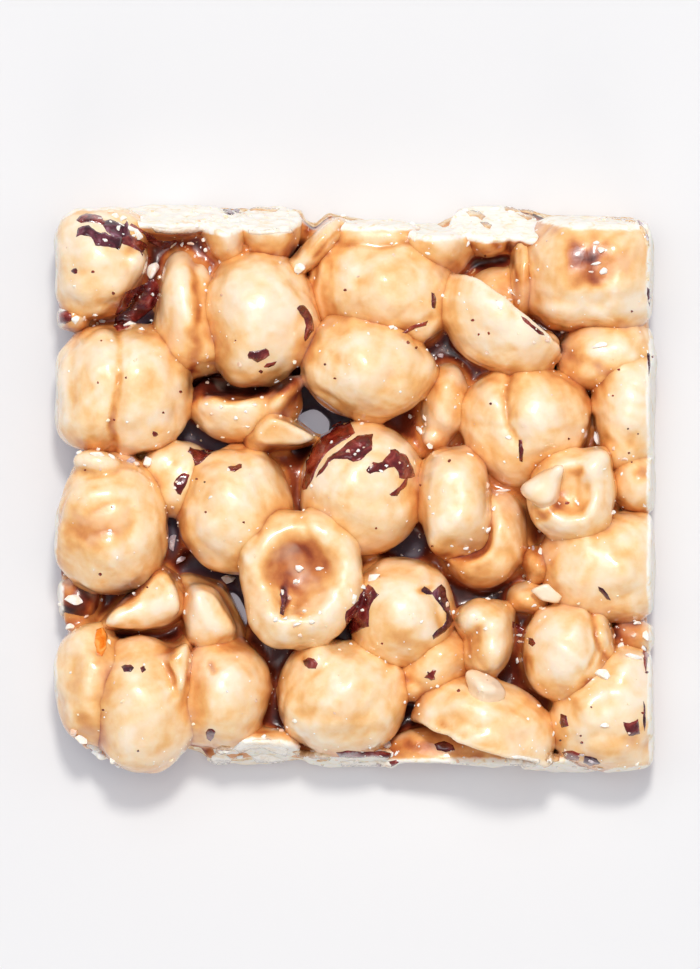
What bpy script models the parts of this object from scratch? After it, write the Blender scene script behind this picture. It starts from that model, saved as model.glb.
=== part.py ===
"""A square bar of whole hazelnuts set in caramel, lying flat, base on z = 0.

Seen from above, +X is the right side of the bar and +Y its far side. The
origin is the middle of the underside. Every nut and every larger nut piece is
one solid; the caramel that carries them is one slab with a pocket for each.
"""
import math

import bmesh
import bpy
import numpy as np
from mathutils import Vector

# ----------------------------------------------------------------- dimensions
STEP = 0.00012            # the layout table below is written in steps of 0.12 mm
BAR_X = 301 * STEP        # half the bar's width (left to right)
BAR_Y = 286 * STEP        # half the bar's depth (front to back)
MID = (355, 489)          # the bar's middle, in layout steps (x right, y down)
GAP = 0.0003              # clear space between touching pieces
SHEET = 0.0009            # continuous caramel film under every nut
NUT_FLOOR = 0.0012        # nuts are pressed flat on this level
CARAMEL_TOP = 0.0068      # level of the caramel between the nuts
FACET = 0.0017            # shortest facet side on a large nut
CORNER_CUT = 84           # leg of the bevelled near-left corner, in steps

# Nuts: middle x, y; half widths x, y (steps); turn (degrees, anticlockwise);
# top and low level (mm); squareness (2 is an oval, 3 a rounded square)
NUTS = {
    # left side
    "nut_corner_nw": (101, 262, 47, 54, 0, 15.6, 1.2, 3.0),
    "nut_split_w": (123, 389, 69, 66, 0, 15.8, 1.2, 2.5),
    "nut_west": (110, 523, 57, 68, 4, 16.2, 1.2, 2.4),
    "nut_sw_low": (92, 683, 38, 61, 4, 14.2, 1.2, 2.3),
    "nut_sw": (141, 704, 49, 69, 2, 16.2, 1.2, 2.3),
    "nut_s1": (223, 696, 47, 62, -18, 15.2, 1.2, 2.4),
    # left of the middle
    "lobe_n": (186, 309, 27, 61, 2, 14.8, 1.2, 2.4),
    "nut_n1": (261, 319, 58, 67, 8, 17.0, 1.8, 2.1),
    "cup_inner": (247, 402, 56, 42, 0, 12.6, 1.2, 2.2),
    "shard_inner": (286, 436, 32, 17, -14, 13.6, 7.0, 2.0),
    "nut_w_low": (180, 479, 38, 38, 0, 11.2, 1.2, 2.0),
    "nut_w2": (236, 512, 57, 65, 0, 15.4, 1.2, 2.2),
    "cup_centre": (300, 578, 61, 70, 8, 17.4, 7.6, 2.2),
    "wedge_w": (143, 598, 42, 27, 32, 12.4, 1.6, 2.6),
    "wedge_w2": (211, 613, 33, 34, 0, 11.8, 1.2, 2.4),
    # middle
    "nut_n2": (382, 284, 66, 52, -10, 15.9, 1.2, 2.1),
    "nut_centre_n": (367, 371, 66, 52, -8, 17.2, 3.0, 2.1),
    "nut_centre": (362, 488, 62, 67, 0, 16.4, 1.2, 2.2),
    "nut_c_low": (445, 403, 23, 43, -8, 11.6, 1.2, 2.2),
    "half_c": (455, 503, 36, 57, 4, 16.6, 3.0, 2.7),
    "crescent_c": (485, 539, 45, 51, -10, 13.0, 1.2, 2.1),
    "nut_s3": (402, 611, 53, 55, 0, 16.2, 1.2, 2.2),
    "nut_s2": (338, 697, 67, 57, -6, 15.8, 1.2, 2.3),
    "nut_s3_low": (437, 662, 40, 30, 32, 13.0, 1.2, 2.1),
    "peanut_s": (488, 641, 27, 41, -10, 15.6, 2.4, 2.4),
    # far side
    "edge_n1": (172, 222, 52, 24, 2, 13.4, 1.2, 2.4),
    "edge_n2": (222, 236, 20, 26, 12, 13.2, 1.2, 2.2),
    "edge_n3": (272, 234, 31, 29, 0, 13.8, 1.2, 2.6),
    "sliver_n": (320, 245, 38, 12, 52, 13.4, 4.0, 2.2),
    "nut_n3": (437, 251, 38, 23, -32, 14.0, 1.2, 2.2),
    "edge_n4": (493, 228, 38, 27, 8, 13.8, 1.2, 2.4),
    "nut_n_low": (500, 300, 30, 30, 0, 10.2, 1.2, 2.0),
    "wall_n": (522, 275, 12, 46, 0, 12.6, 1.2, 2.3),
    # right side
    "half_ne": (508, 316, 66, 52, -36, 16.6, 3.0, 2.2),
    "nut_corner_ne": (588, 280, 64, 55, 4, 16.6, 1.2, 3.0),
    "nut_e_low": (604, 353, 47, 38, 10, 13.0, 1.2, 2.2),
    "nut_e1": (623, 408, 32, 60, 2, 14.6, 1.2, 2.5),
    "nut_e1_tail": (634, 482, 23, 29, 0, 13.4, 1.2, 2.3),
    "nut_e2": (526, 424, 66, 57, 0, 16.2, 1.2, 2.2),
    "cup_e": (571, 498, 46, 43, -15, 17.0, 6.2, 2.2),
    "flap_e": (547, 486, 29, 17, 36, 17.2, 13.4, 2.2),
    "nut_e3": (600, 565, 57, 54, 0, 15.2, 1.2, 3.0),
    "bit_e": (535, 566, 15, 22, 0, 11.6, 3.0, 2.0),
    "nut_e_low2": (528, 597, 24, 20, 0, 11.6, 1.2, 2.1),
    "chip_e": (546, 592, 19, 9, -24, 13.6, 11.8, 2.0),
    "nut_s5": (563, 651, 45, 50, 0, 16.4, 2.0, 2.3),
    "bit_se": (628, 636, 22, 17, 0, 9.6, 1.2, 2.2),
    "nut_corner_se": (602, 712, 48, 60, -14, 15.0, 1.2, 2.6),
    "half_s": (480, 738, 74, 58, -17, 15.8, 2.6, 2.2),
    "bit_s": (487, 690, 18, 14, 0, 17.2, 13.6, 2.1),
    # near side
    "edge_s1": (255, 755, 47, 15, 6, 9.4, 1.2, 2.4),
    "edge_s2": (350, 758, 54, 12, 0, 8.2, 1.2, 2.4),
    "edge_s3": (463, 752, 64, 17, 0, 9.0, 1.2, 2.4),
    "edge_s4": (562, 763, 46, 13, -8, 7.6, 1.2, 2.4),
    "edge_w": (78, 602, 23, 24, 0, 9.6, 1.2, 2.4),
    "bit_w": (74, 316, 19, 11, 0, 10.6, 1.2, 2.2),
}

# Broken or knife-cut faces: a point x, y (steps), the level (mm) at which the
# face passes through it, the compass heading it looks to, and its lean back
FACES = {
    "half_ne": (511, 312, 8.0, 54, 0),
    "half_s": (475, 743, 8.0, -107, 4),
    "edge_n1": (172, 203, 1.0, 90, 13),
    "edge_n3": (272, 206, 1.0, 90, 15),
    "edge_n4": (493, 204, 1.0, 90, 24),
}

# Hollows: middle x, y, half widths (steps), floor level (mm)
HOLLOWS = {
    "cup_centre": (300, 575, 28, 29, 13.4),
    "cup_e": (566, 491, 25, 22, 13.6),
    "cup_inner": (246, 389, 28, 17, 9.4),
    "nut_corner_ne": (585, 262, 22, 18, 13.4),
}

# Holes right through the bar, where no nut and no caramel closed it
GAPS = [(150, 326, 8), (196, 437, 8), (321, 416, 9), (233, 594, 7),
        (541, 363, 8), (407, 549, 7)]

GLAZE_LIGHT = (0.90, 0.68, 0.40)
GLAZE_DEEP = (0.74, 0.44, 0.19)
CARAMEL = (0.42, 0.17, 0.06)
CUT_NUT = (0.92, 0.84, 0.70)


# -------------------------------------------------------------------- helpers
def place(x, y, z_mm=0.0):
    """Layout steps and a level in mm to metres."""
    return Vector(((x - MID[0]) * STEP, (MID[1] - y) * STEP, z_mm * 0.001))


def material(name, colour, roughness):
    mat = bpy.data.materials.new(name)
    mat.use_nodes = True
    shader = mat.node_tree.nodes["Principled BSDF"]
    shader.inputs["Base Color"].default_value = (*colour, 1.0)
    shader.inputs["Roughness"].default_value = roughness
    shader.inputs["Metallic"].default_value = 0.0
    mat.diffuse_color = (*colour, 1.0)
    return mat


def new_object(name, mesh_source, mat=None):
    mesh = bpy.data.meshes.new(name)
    bmesh.ops.recalc_face_normals(mesh_source, faces=mesh_source.faces[:])
    mesh_source.to_mesh(mesh)
    obj = bpy.data.objects.new(name, mesh)
    bpy.context.scene.collection.objects.link(obj)
    if mat:
        mesh.materials.append(mat)
    return obj


def rounded(name, cx, cy, rx, ry, turn, top, low, power):
    """A nut as an oval whose plan is more or less square, in metres."""
    large = max(rx, ry) > 40
    whole = low < 5.0
    body = bmesh.new()
    bmesh.ops.create_uvsphere(body, u_segments=12 if large else 10,
                              v_segments=6, radius=1.0)
    floor = low - 0.2 if whole else low      # whole nuts are pressed flat below
    half = (top - floor) * 0.0005
    angle = math.radians(turn)
    middle = place(cx, cy, (top + floor) * 0.5)
    a, b = rx * STEP, ry * STEP
    for vert in body.verts:
        d = vert.co.normalized()
        plan = (abs(d.x / a) ** power + abs(d.y / b) ** power) ** (2.0 / power)
        reach = 1.0 / math.sqrt(plan + (d.z / half) ** 2)
        x, y = d.x * reach, d.y * reach
        vert.co = middle + Vector((x * math.cos(angle) - y * math.sin(angle),
                                   x * math.sin(angle) + y * math.cos(angle),
                                   d.z * reach))
    return body


def hull(body, weld=0.00004):
    """The same convex body, with its close corners merged and faces remade."""
    bmesh.ops.remove_doubles(body, verts=body.verts[:], dist=weld)
    points = [v.co.copy() for v in body.verts]
    body.clear()
    for point in points:
        body.verts.new(point)
    made = bmesh.ops.convex_hull(body, input=body.verts[:],
                                 use_existing_faces=False)
    spare = {v for v in made["geom_interior"] + made["geom_unused"]
             if isinstance(v, bmesh.types.BMVert)}
    if spare:
        bmesh.ops.delete(body, geom=list(spare), context="VERTS")


def trim(body, point, normal):
    """Cuts away what lies beyond the plane and closes the cut flat."""
    normal = Vector(normal).normalized()
    point = Vector(point)
    if max((v.co - point).dot(normal) for v in body.verts) < 1e-7:
        return
    bmesh.ops.bisect_plane(body, geom=body.verts[:] + body.edges[:]
                           + body.faces[:], dist=1e-7, plane_co=point,
                           plane_no=normal, clear_outer=True)
    hull(body)


def directions(count):
    """Evenly spread unit vectors."""
    golden = math.pi * (3.0 - math.sqrt(5.0))
    k = np.arange(count)
    z = 1.0 - 2.0 * (k + 0.5) / count
    r = np.sqrt(1.0 - z * z)
    return np.stack([r * np.cos(golden * k), r * np.sin(golden * k), z], 1)


SPREAD = directions(500)


def corners(body):
    return np.array([v.co[:] for v in body.verts])


def shallowest(a, b):
    """The direction from a to b along which they overlap least, and how far."""
    best = None
    tries = SPREAD
    for _ in range(3):
        depth = (a @ tries.T).max(0) - (b @ tries.T).min(0)
        k = int(depth.argmin())
        if best is None or depth[k] < best[1]:
            best = (tries[k], float(depth[k]))
        near = best[0] + 0.08 * SPREAD[::5]
        tries = near / np.linalg.norm(near, axis=1)[:, None]
    return best


def settle(bodies):
    """Flattens each pair of nuts where they press on one another."""
    names = list(bodies)
    pairs = []
    for i, first in enumerate(names):
        for second in names[i + 1:]:
            a, b = corners(bodies[first]), corners(bodies[second])
            if (a.min(0) > b.max(0) + GAP).any() or \
                    (b.min(0) > a.max(0) + GAP).any():
                continue
            depth = shallowest(a, b)[1]
            if depth > -GAP:
                pairs.append((depth, first, second))
    for _, first, second in sorted(pairs, reverse=True):
        a, b = corners(bodies[first]), corners(bodies[second])
        way, depth = shallowest(a, b)
        if depth <= -GAP:
            continue
        lead = (NUTS[first][5] - NUTS[second][5]) / 3.0
        keep = 0.5 + 0.4 * max(-1.0, min(1.0, lead))
        low = float((b @ way).min())
        level = low + keep * depth
        way = Vector(way)
        trim(bodies[first], way * (level - GAP / 2), way)
        trim(bodies[second], way * (level + GAP / 2), -way)
    for name in names:      # short facets left by the trimming are merged
        hull(bodies[name], FACET if NUTS[name][2] + NUTS[name][3] > 80
             else FACET * 0.5)


def swell(body, by):
    """A copy of a convex body, grown evenly."""
    copy = body.copy()
    bmesh.ops.recalc_face_normals(copy, faces=copy.faces[:])
    copy.normal_update()
    moved = [v.co + v.normal * by * min(v.calc_shell_factor(), 2.0)
             for v in copy.verts]
    for vert, point in zip(copy.verts, moved):
        vert.co = point
    hull(copy)
    return copy


def subtract(obj, cutters):
    """Cuts the closed meshes out of the object, one after another."""
    for cutter in cutters:
        cutter.hide_render = True
        cutter.display_type = "WIRE"
        cut = obj.modifiers.new("cut", "BOOLEAN")
        cut.operation = "DIFFERENCE"
        cut.solver = "EXACT"
        cut.object = cutter
        bpy.context.view_layer.update()
        baked = bpy.data.meshes.new_from_object(
            obj.evaluated_get(bpy.context.evaluated_depsgraph_get()))
        obj.modifiers.remove(cut)
        obj.data = baked
        bpy.data.objects.remove(cutter)


def dish(cx, cy, rx, ry, floor, top):
    """The round-bottomed shape that a nut's hollow leaves."""
    shape = bmesh.new()
    bmesh.ops.create_uvsphere(shape, u_segments=12, v_segments=6, radius=1.0)
    depth = top + 0.8 - floor
    for vert in shape.verts:
        vert.co = Vector((vert.co.x * rx * STEP * 1.04,
                          vert.co.y * ry * STEP * 1.04,
                          vert.co.z * depth * 0.001)) \
            + place(cx, cy, top + 0.8)
    return shape


def slab():
    """The caramel before its pockets: a flat body with rounded corners."""
    outline = [  # x, y (steps), corner radius (steps)
        (54, 204, 24), (655, 205, 28), (656, 774, 20),
        (54 + CORNER_CUT, 774, 20), (54, 774 - CORNER_CUT, 30)]
    ring = []
    count = len(outline)
    for k, (x, y, radius) in enumerate(outline):
        here = place(x, y)
        back = (place(*outline[k - 1][:2]) - here).normalized()
        ahead = (place(*outline[(k + 1) % count][:2]) - here).normalized()
        half_angle = back.angle(ahead) / 2
        reach = radius * STEP / math.tan(half_angle)
        start, end = here + back * reach, here + ahead * reach
        centre = here + (back + ahead).normalized() \
            * (radius * STEP / math.sin(half_angle))
        for j in range(4):
            point = start.lerp(end, j / 3) - centre
            ring.append(centre + point.normalized() * radius * STEP)
    body = bmesh.new()
    base = body.faces.new([body.verts.new(p) for p in ring])
    grown = bmesh.ops.extrude_face_region(body, geom=[base])
    for item in grown["geom"]:
        if isinstance(item, bmesh.types.BMVert):
            item.co.z += CARAMEL_TOP
    return body


def drill(cx, cy, radius):
    """A straight hole's shape, longer than the slab is thick."""
    shape = bmesh.new()
    bmesh.ops.create_cone(shape, segments=8, radius1=radius * STEP,
                          radius2=radius * STEP * 1.25, depth=0.012,
                          cap_ends=True)
    for vert in shape.verts:
        vert.co += place(cx, cy, 3.5)
    return shape


# ---------------------------------------------------------------------- model
for old in list(bpy.data.objects):
    bpy.data.objects.remove(old, do_unlink=True)

nuts = {}
for name, row in NUTS.items():
    nut = rounded(name, *row)
    trim(nut, (0, 0, NUT_FLOOR), (0, 0, -1))
    for sign, edge in ((-1, BAR_X), (1, BAR_X)):
        trim(nut, (sign * edge, 0, 0), (sign, 0, 0))
    for sign, edge in ((-1, BAR_Y), (1, BAR_Y)):
        trim(nut, (0, sign * edge, 0), (0, sign, 0))
    if name in FACES:
        x, y, level, heading, lean = FACES[name]
        heading, lean = math.radians(heading), math.radians(lean)
        trim(nut, place(x, y, level),
             (math.cos(heading) * math.cos(lean),
              math.sin(heading) * math.cos(lean), math.sin(lean)))
    nuts[name] = nut
settle(nuts)

pockets = [new_object("pocket_" + name, swell(nut, GAP))
           for name, nut in nuts.items()
           if corners(nut)[:, 2].min() < CARAMEL_TOP + GAP]
holes = [new_object("hole_%d" % k, drill(*row)) for k, row in enumerate(GAPS)]

caramel = new_object("caramel", slab(), material("caramel", CARAMEL, 0.25))
subtract(caramel, pockets + holes)
coarser = caramel.modifiers.new("coarser", "DECIMATE")   # short pocket edges
coarser.decimate_type = "COLLAPSE"
coarser.ratio = 0.66

for name, nut in nuts.items():
    shade = 0.5 + 0.5 * math.sin(sum(map(ord, name)))
    colour = [a * shade + b * (1 - shade)
              for a, b in zip(GLAZE_LIGHT, GLAZE_DEEP)]
    if name.startswith("edge") or name.startswith("bit"):
        colour = CUT_NUT
    obj = new_object(name, nut, material("nut_" + name, colour, 0.35))
    if name in HOLLOWS:
        x, y, rx, ry, floor = HOLLOWS[name]
        subtract(obj, [new_object("hollow", dish(x, y, rx, ry, floor,
                                                 NUTS[name][5]))])
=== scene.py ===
"""The looks of the hazelnut square: glazed nuts, set caramel, skins and
crumbs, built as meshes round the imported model. Heights and radii below are
in millimetres unless said, and become metres when a mesh is made."""

import math

import bpy
import numpy as np
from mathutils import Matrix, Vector
from mathutils.bvhtree import BVHTree
from mathutils.geometry import delaunay_2d_cdt


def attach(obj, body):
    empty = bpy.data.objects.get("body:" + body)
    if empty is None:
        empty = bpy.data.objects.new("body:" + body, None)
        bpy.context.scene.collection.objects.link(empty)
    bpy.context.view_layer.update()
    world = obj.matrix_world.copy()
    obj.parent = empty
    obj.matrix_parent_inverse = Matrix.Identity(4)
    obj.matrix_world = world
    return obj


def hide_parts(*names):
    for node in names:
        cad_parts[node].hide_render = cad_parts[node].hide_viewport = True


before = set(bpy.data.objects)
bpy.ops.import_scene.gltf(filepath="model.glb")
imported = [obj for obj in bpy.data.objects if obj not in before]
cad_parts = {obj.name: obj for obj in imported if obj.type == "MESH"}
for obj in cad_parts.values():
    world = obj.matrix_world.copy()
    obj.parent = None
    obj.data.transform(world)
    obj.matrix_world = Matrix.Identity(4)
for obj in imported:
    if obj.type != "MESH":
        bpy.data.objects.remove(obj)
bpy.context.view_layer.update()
# ---------------------------------------------------------------- layout
# Everything is laid out in steps of 0.12 mm, x to the right and y down, with
# the middle of the bar at (355, 489). Heights are in millimetres.
STEP = 0.12
MIDX, MIDY = 355.0, 489.0
CELL = 0.334               # spacing of the lattice that the forms are cut on
LIP = 1.00                # how far the lattice blocks reach past a form
BAR_X, BAR_Y = 36.12, 34.32


def gx(x):
    return (x - MIDX) * STEP


def gy(y):
    return (MIDY - y) * STEP


# whole forms: middle x, y, half widths, turn, top and low level, squareness
OVALS = {
    "nut_corner_nw": (100, 262, 47, 56, 0, 15.6, 0.4, 3.0),
    "nut_split_w": (123, 389, 69, 66, 0, 15.8, 0.4, 2.5),
    "nut_west": (109, 524, 58, 70, 4, 16.2, 0.4, 2.4),
    "nut_sw_low": (92, 684, 38, 61, 4, 14.2, 0.4, 2.3),
    "nut_sw": (143, 705, 51, 69, 2, 16.2, 0.4, 2.3),
    "nut_s1": (222, 693, 46, 57, -14, 15.2, 0.4, 2.4),
    "lobe_n": (184, 309, 26, 60, 3, 14.6, 0.4, 2.3),
    "nut_n1": (260, 316, 57, 64, 8, 17.0, 1.0, 2.15),
    "cup_inner": (246, 404, 56, 37, 4, 12.8, 0.4, 2.3),
    "shard_inner": (279, 434, 24, 19, -20, 13.8, 6.0, 2.1),
    "nut_w_low": (181, 480, 37, 39, 0, 11.4, 0.4, 2.1),
    "nut_w2": (236, 511, 58, 64, 0, 15.4, 0.4, 2.2),
    "cup_centre": (301, 574, 62, 66, 8, 17.6, 7.0, 2.25),
    "wedge_w": (141, 600, 46, 34, 30, 15.2, 1.0, 2.4),
    "wedge_w2": (211, 613, 33, 36, -20, 15.4, 0.6, 2.3),
    "nut_n2": (391, 287, 62, 52, -6, 15.9, 0.4, 2.1),
    "nut_centre_n": (367, 369, 65, 51, -9, 17.2, 2.0, 2.15),
    "nut_centre": (362, 488, 62, 66, 0, 16.4, 0.4, 2.2),
    "nut_c_low": (443, 404, 22, 43, -10, 11.6, 0.4, 2.2),
    "half_c": (455, 503, 36, 56, 4, 16.8, 2.4, 2.7),
    "crescent_c": (485, 537, 44, 51, -10, 13.4, 0.4, 2.2),
    "nut_s3": (402, 611, 53, 54, 0, 16.2, 0.4, 2.2),
    "nut_s2": (341, 697, 65, 57, -8, 15.8, 0.4, 2.3),
    "nut_s3_low": (436, 663, 39, 28, 34, 13.2, 0.4, 2.1),
    "peanut_s": (490, 640, 24, 41, -14, 15.6, 2.0, 2.5),
    "edge_n1": (172, 207, 53, 35, 2, 14.4, 0.4, 2.3),
    "edge_n2": (222, 228, 22, 36, 12, 14.0, 0.4, 2.3),
    "edge_n3": (270, 218, 31, 44, 0, 14.2, 0.4, 2.6),
    "sliver_n": (318, 246, 37, 12, 48, 13.8, 3.0, 2.3),
    "nut_n3": (436, 240, 40, 30, -30, 14.2, 0.4, 2.3),
    "edge_n4": (493, 214, 40, 40, 6, 14.6, 0.4, 2.3),
    "nut_n_low": (498, 298, 30, 32, 0, 10.6, 0.4, 2.0),
    "wall_n": (522, 276, 11, 45, 0, 12.8, 0.4, 2.3),
    "half_ne": (504, 317, 70, 54, -36, 16.8, 2.0, 2.2),
    "nut_corner_ne": (592, 270, 69, 63, 0, 16.8, 0.4, 3.2),
    "nut_e_low": (608, 355, 52, 37, 8, 13.4, 0.4, 2.2),
    "nut_e1": (630, 405, 38, 60, 2, 14.8, 0.4, 2.4),
    "nut_e1_tail": (639, 483, 28, 30, 0, 13.6, 0.4, 2.3),
    "nut_e2": (526, 419, 64, 54, 0, 15.9, 0.4, 2.2),
    "cup_e": (571, 496, 44, 45, -12, 17.2, 5.6, 2.3),
    "flap_e": (543, 486, 30, 22, 36, 17.8, 13.6, 2.3),
    "nut_e3": (606, 566, 64, 55, 0, 15.4, 0.4, 3.0),
    "bit_e": (536, 565, 13, 19, 8, 12.2, 3.0, 2.1),
    "nut_e_low2": (528, 599, 23, 16, -6, 12.0, 0.4, 2.1),
    "chip_e": (546, 591, 16, 10, -18, 14.0, 11.4, 2.1),
    "nut_s5": (565, 652, 43, 49, 0, 16.6, 1.0, 2.3),
    "bit_se": (634, 636, 24, 18, 0, 10.4, 0.4, 2.4),
    "nut_corner_se": (605, 714, 54, 56, -16, 15.2, 0.4, 2.4),
    "half_s": (481, 738, 73, 60, -17, 15.8, 2.0, 2.2),
    "bit_s": (489, 687, 21, 15, -8, 17.4, 12.4, 2.2),
    "edge_s1": (257, 753, 43, 24, 3, 12.0, 0.4, 2.3),
    "edge_s2": (352, 760, 50, 16, 0, 9.6, 0.4, 2.3),
    "edge_s3": (452, 754, 72, 30, 4, 9.4, 0.4, 2.3),
    "edge_s4": (566, 766, 44, 16, -2, 9.0, 0.4, 2.3),
    "edge_w": (76, 601, 22, 24, 0, 9.0, 0.4, 2.4),
    "bit_w": (72, 318, 18, 13, 0, 11.4, 0.4, 2.2),
}

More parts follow.
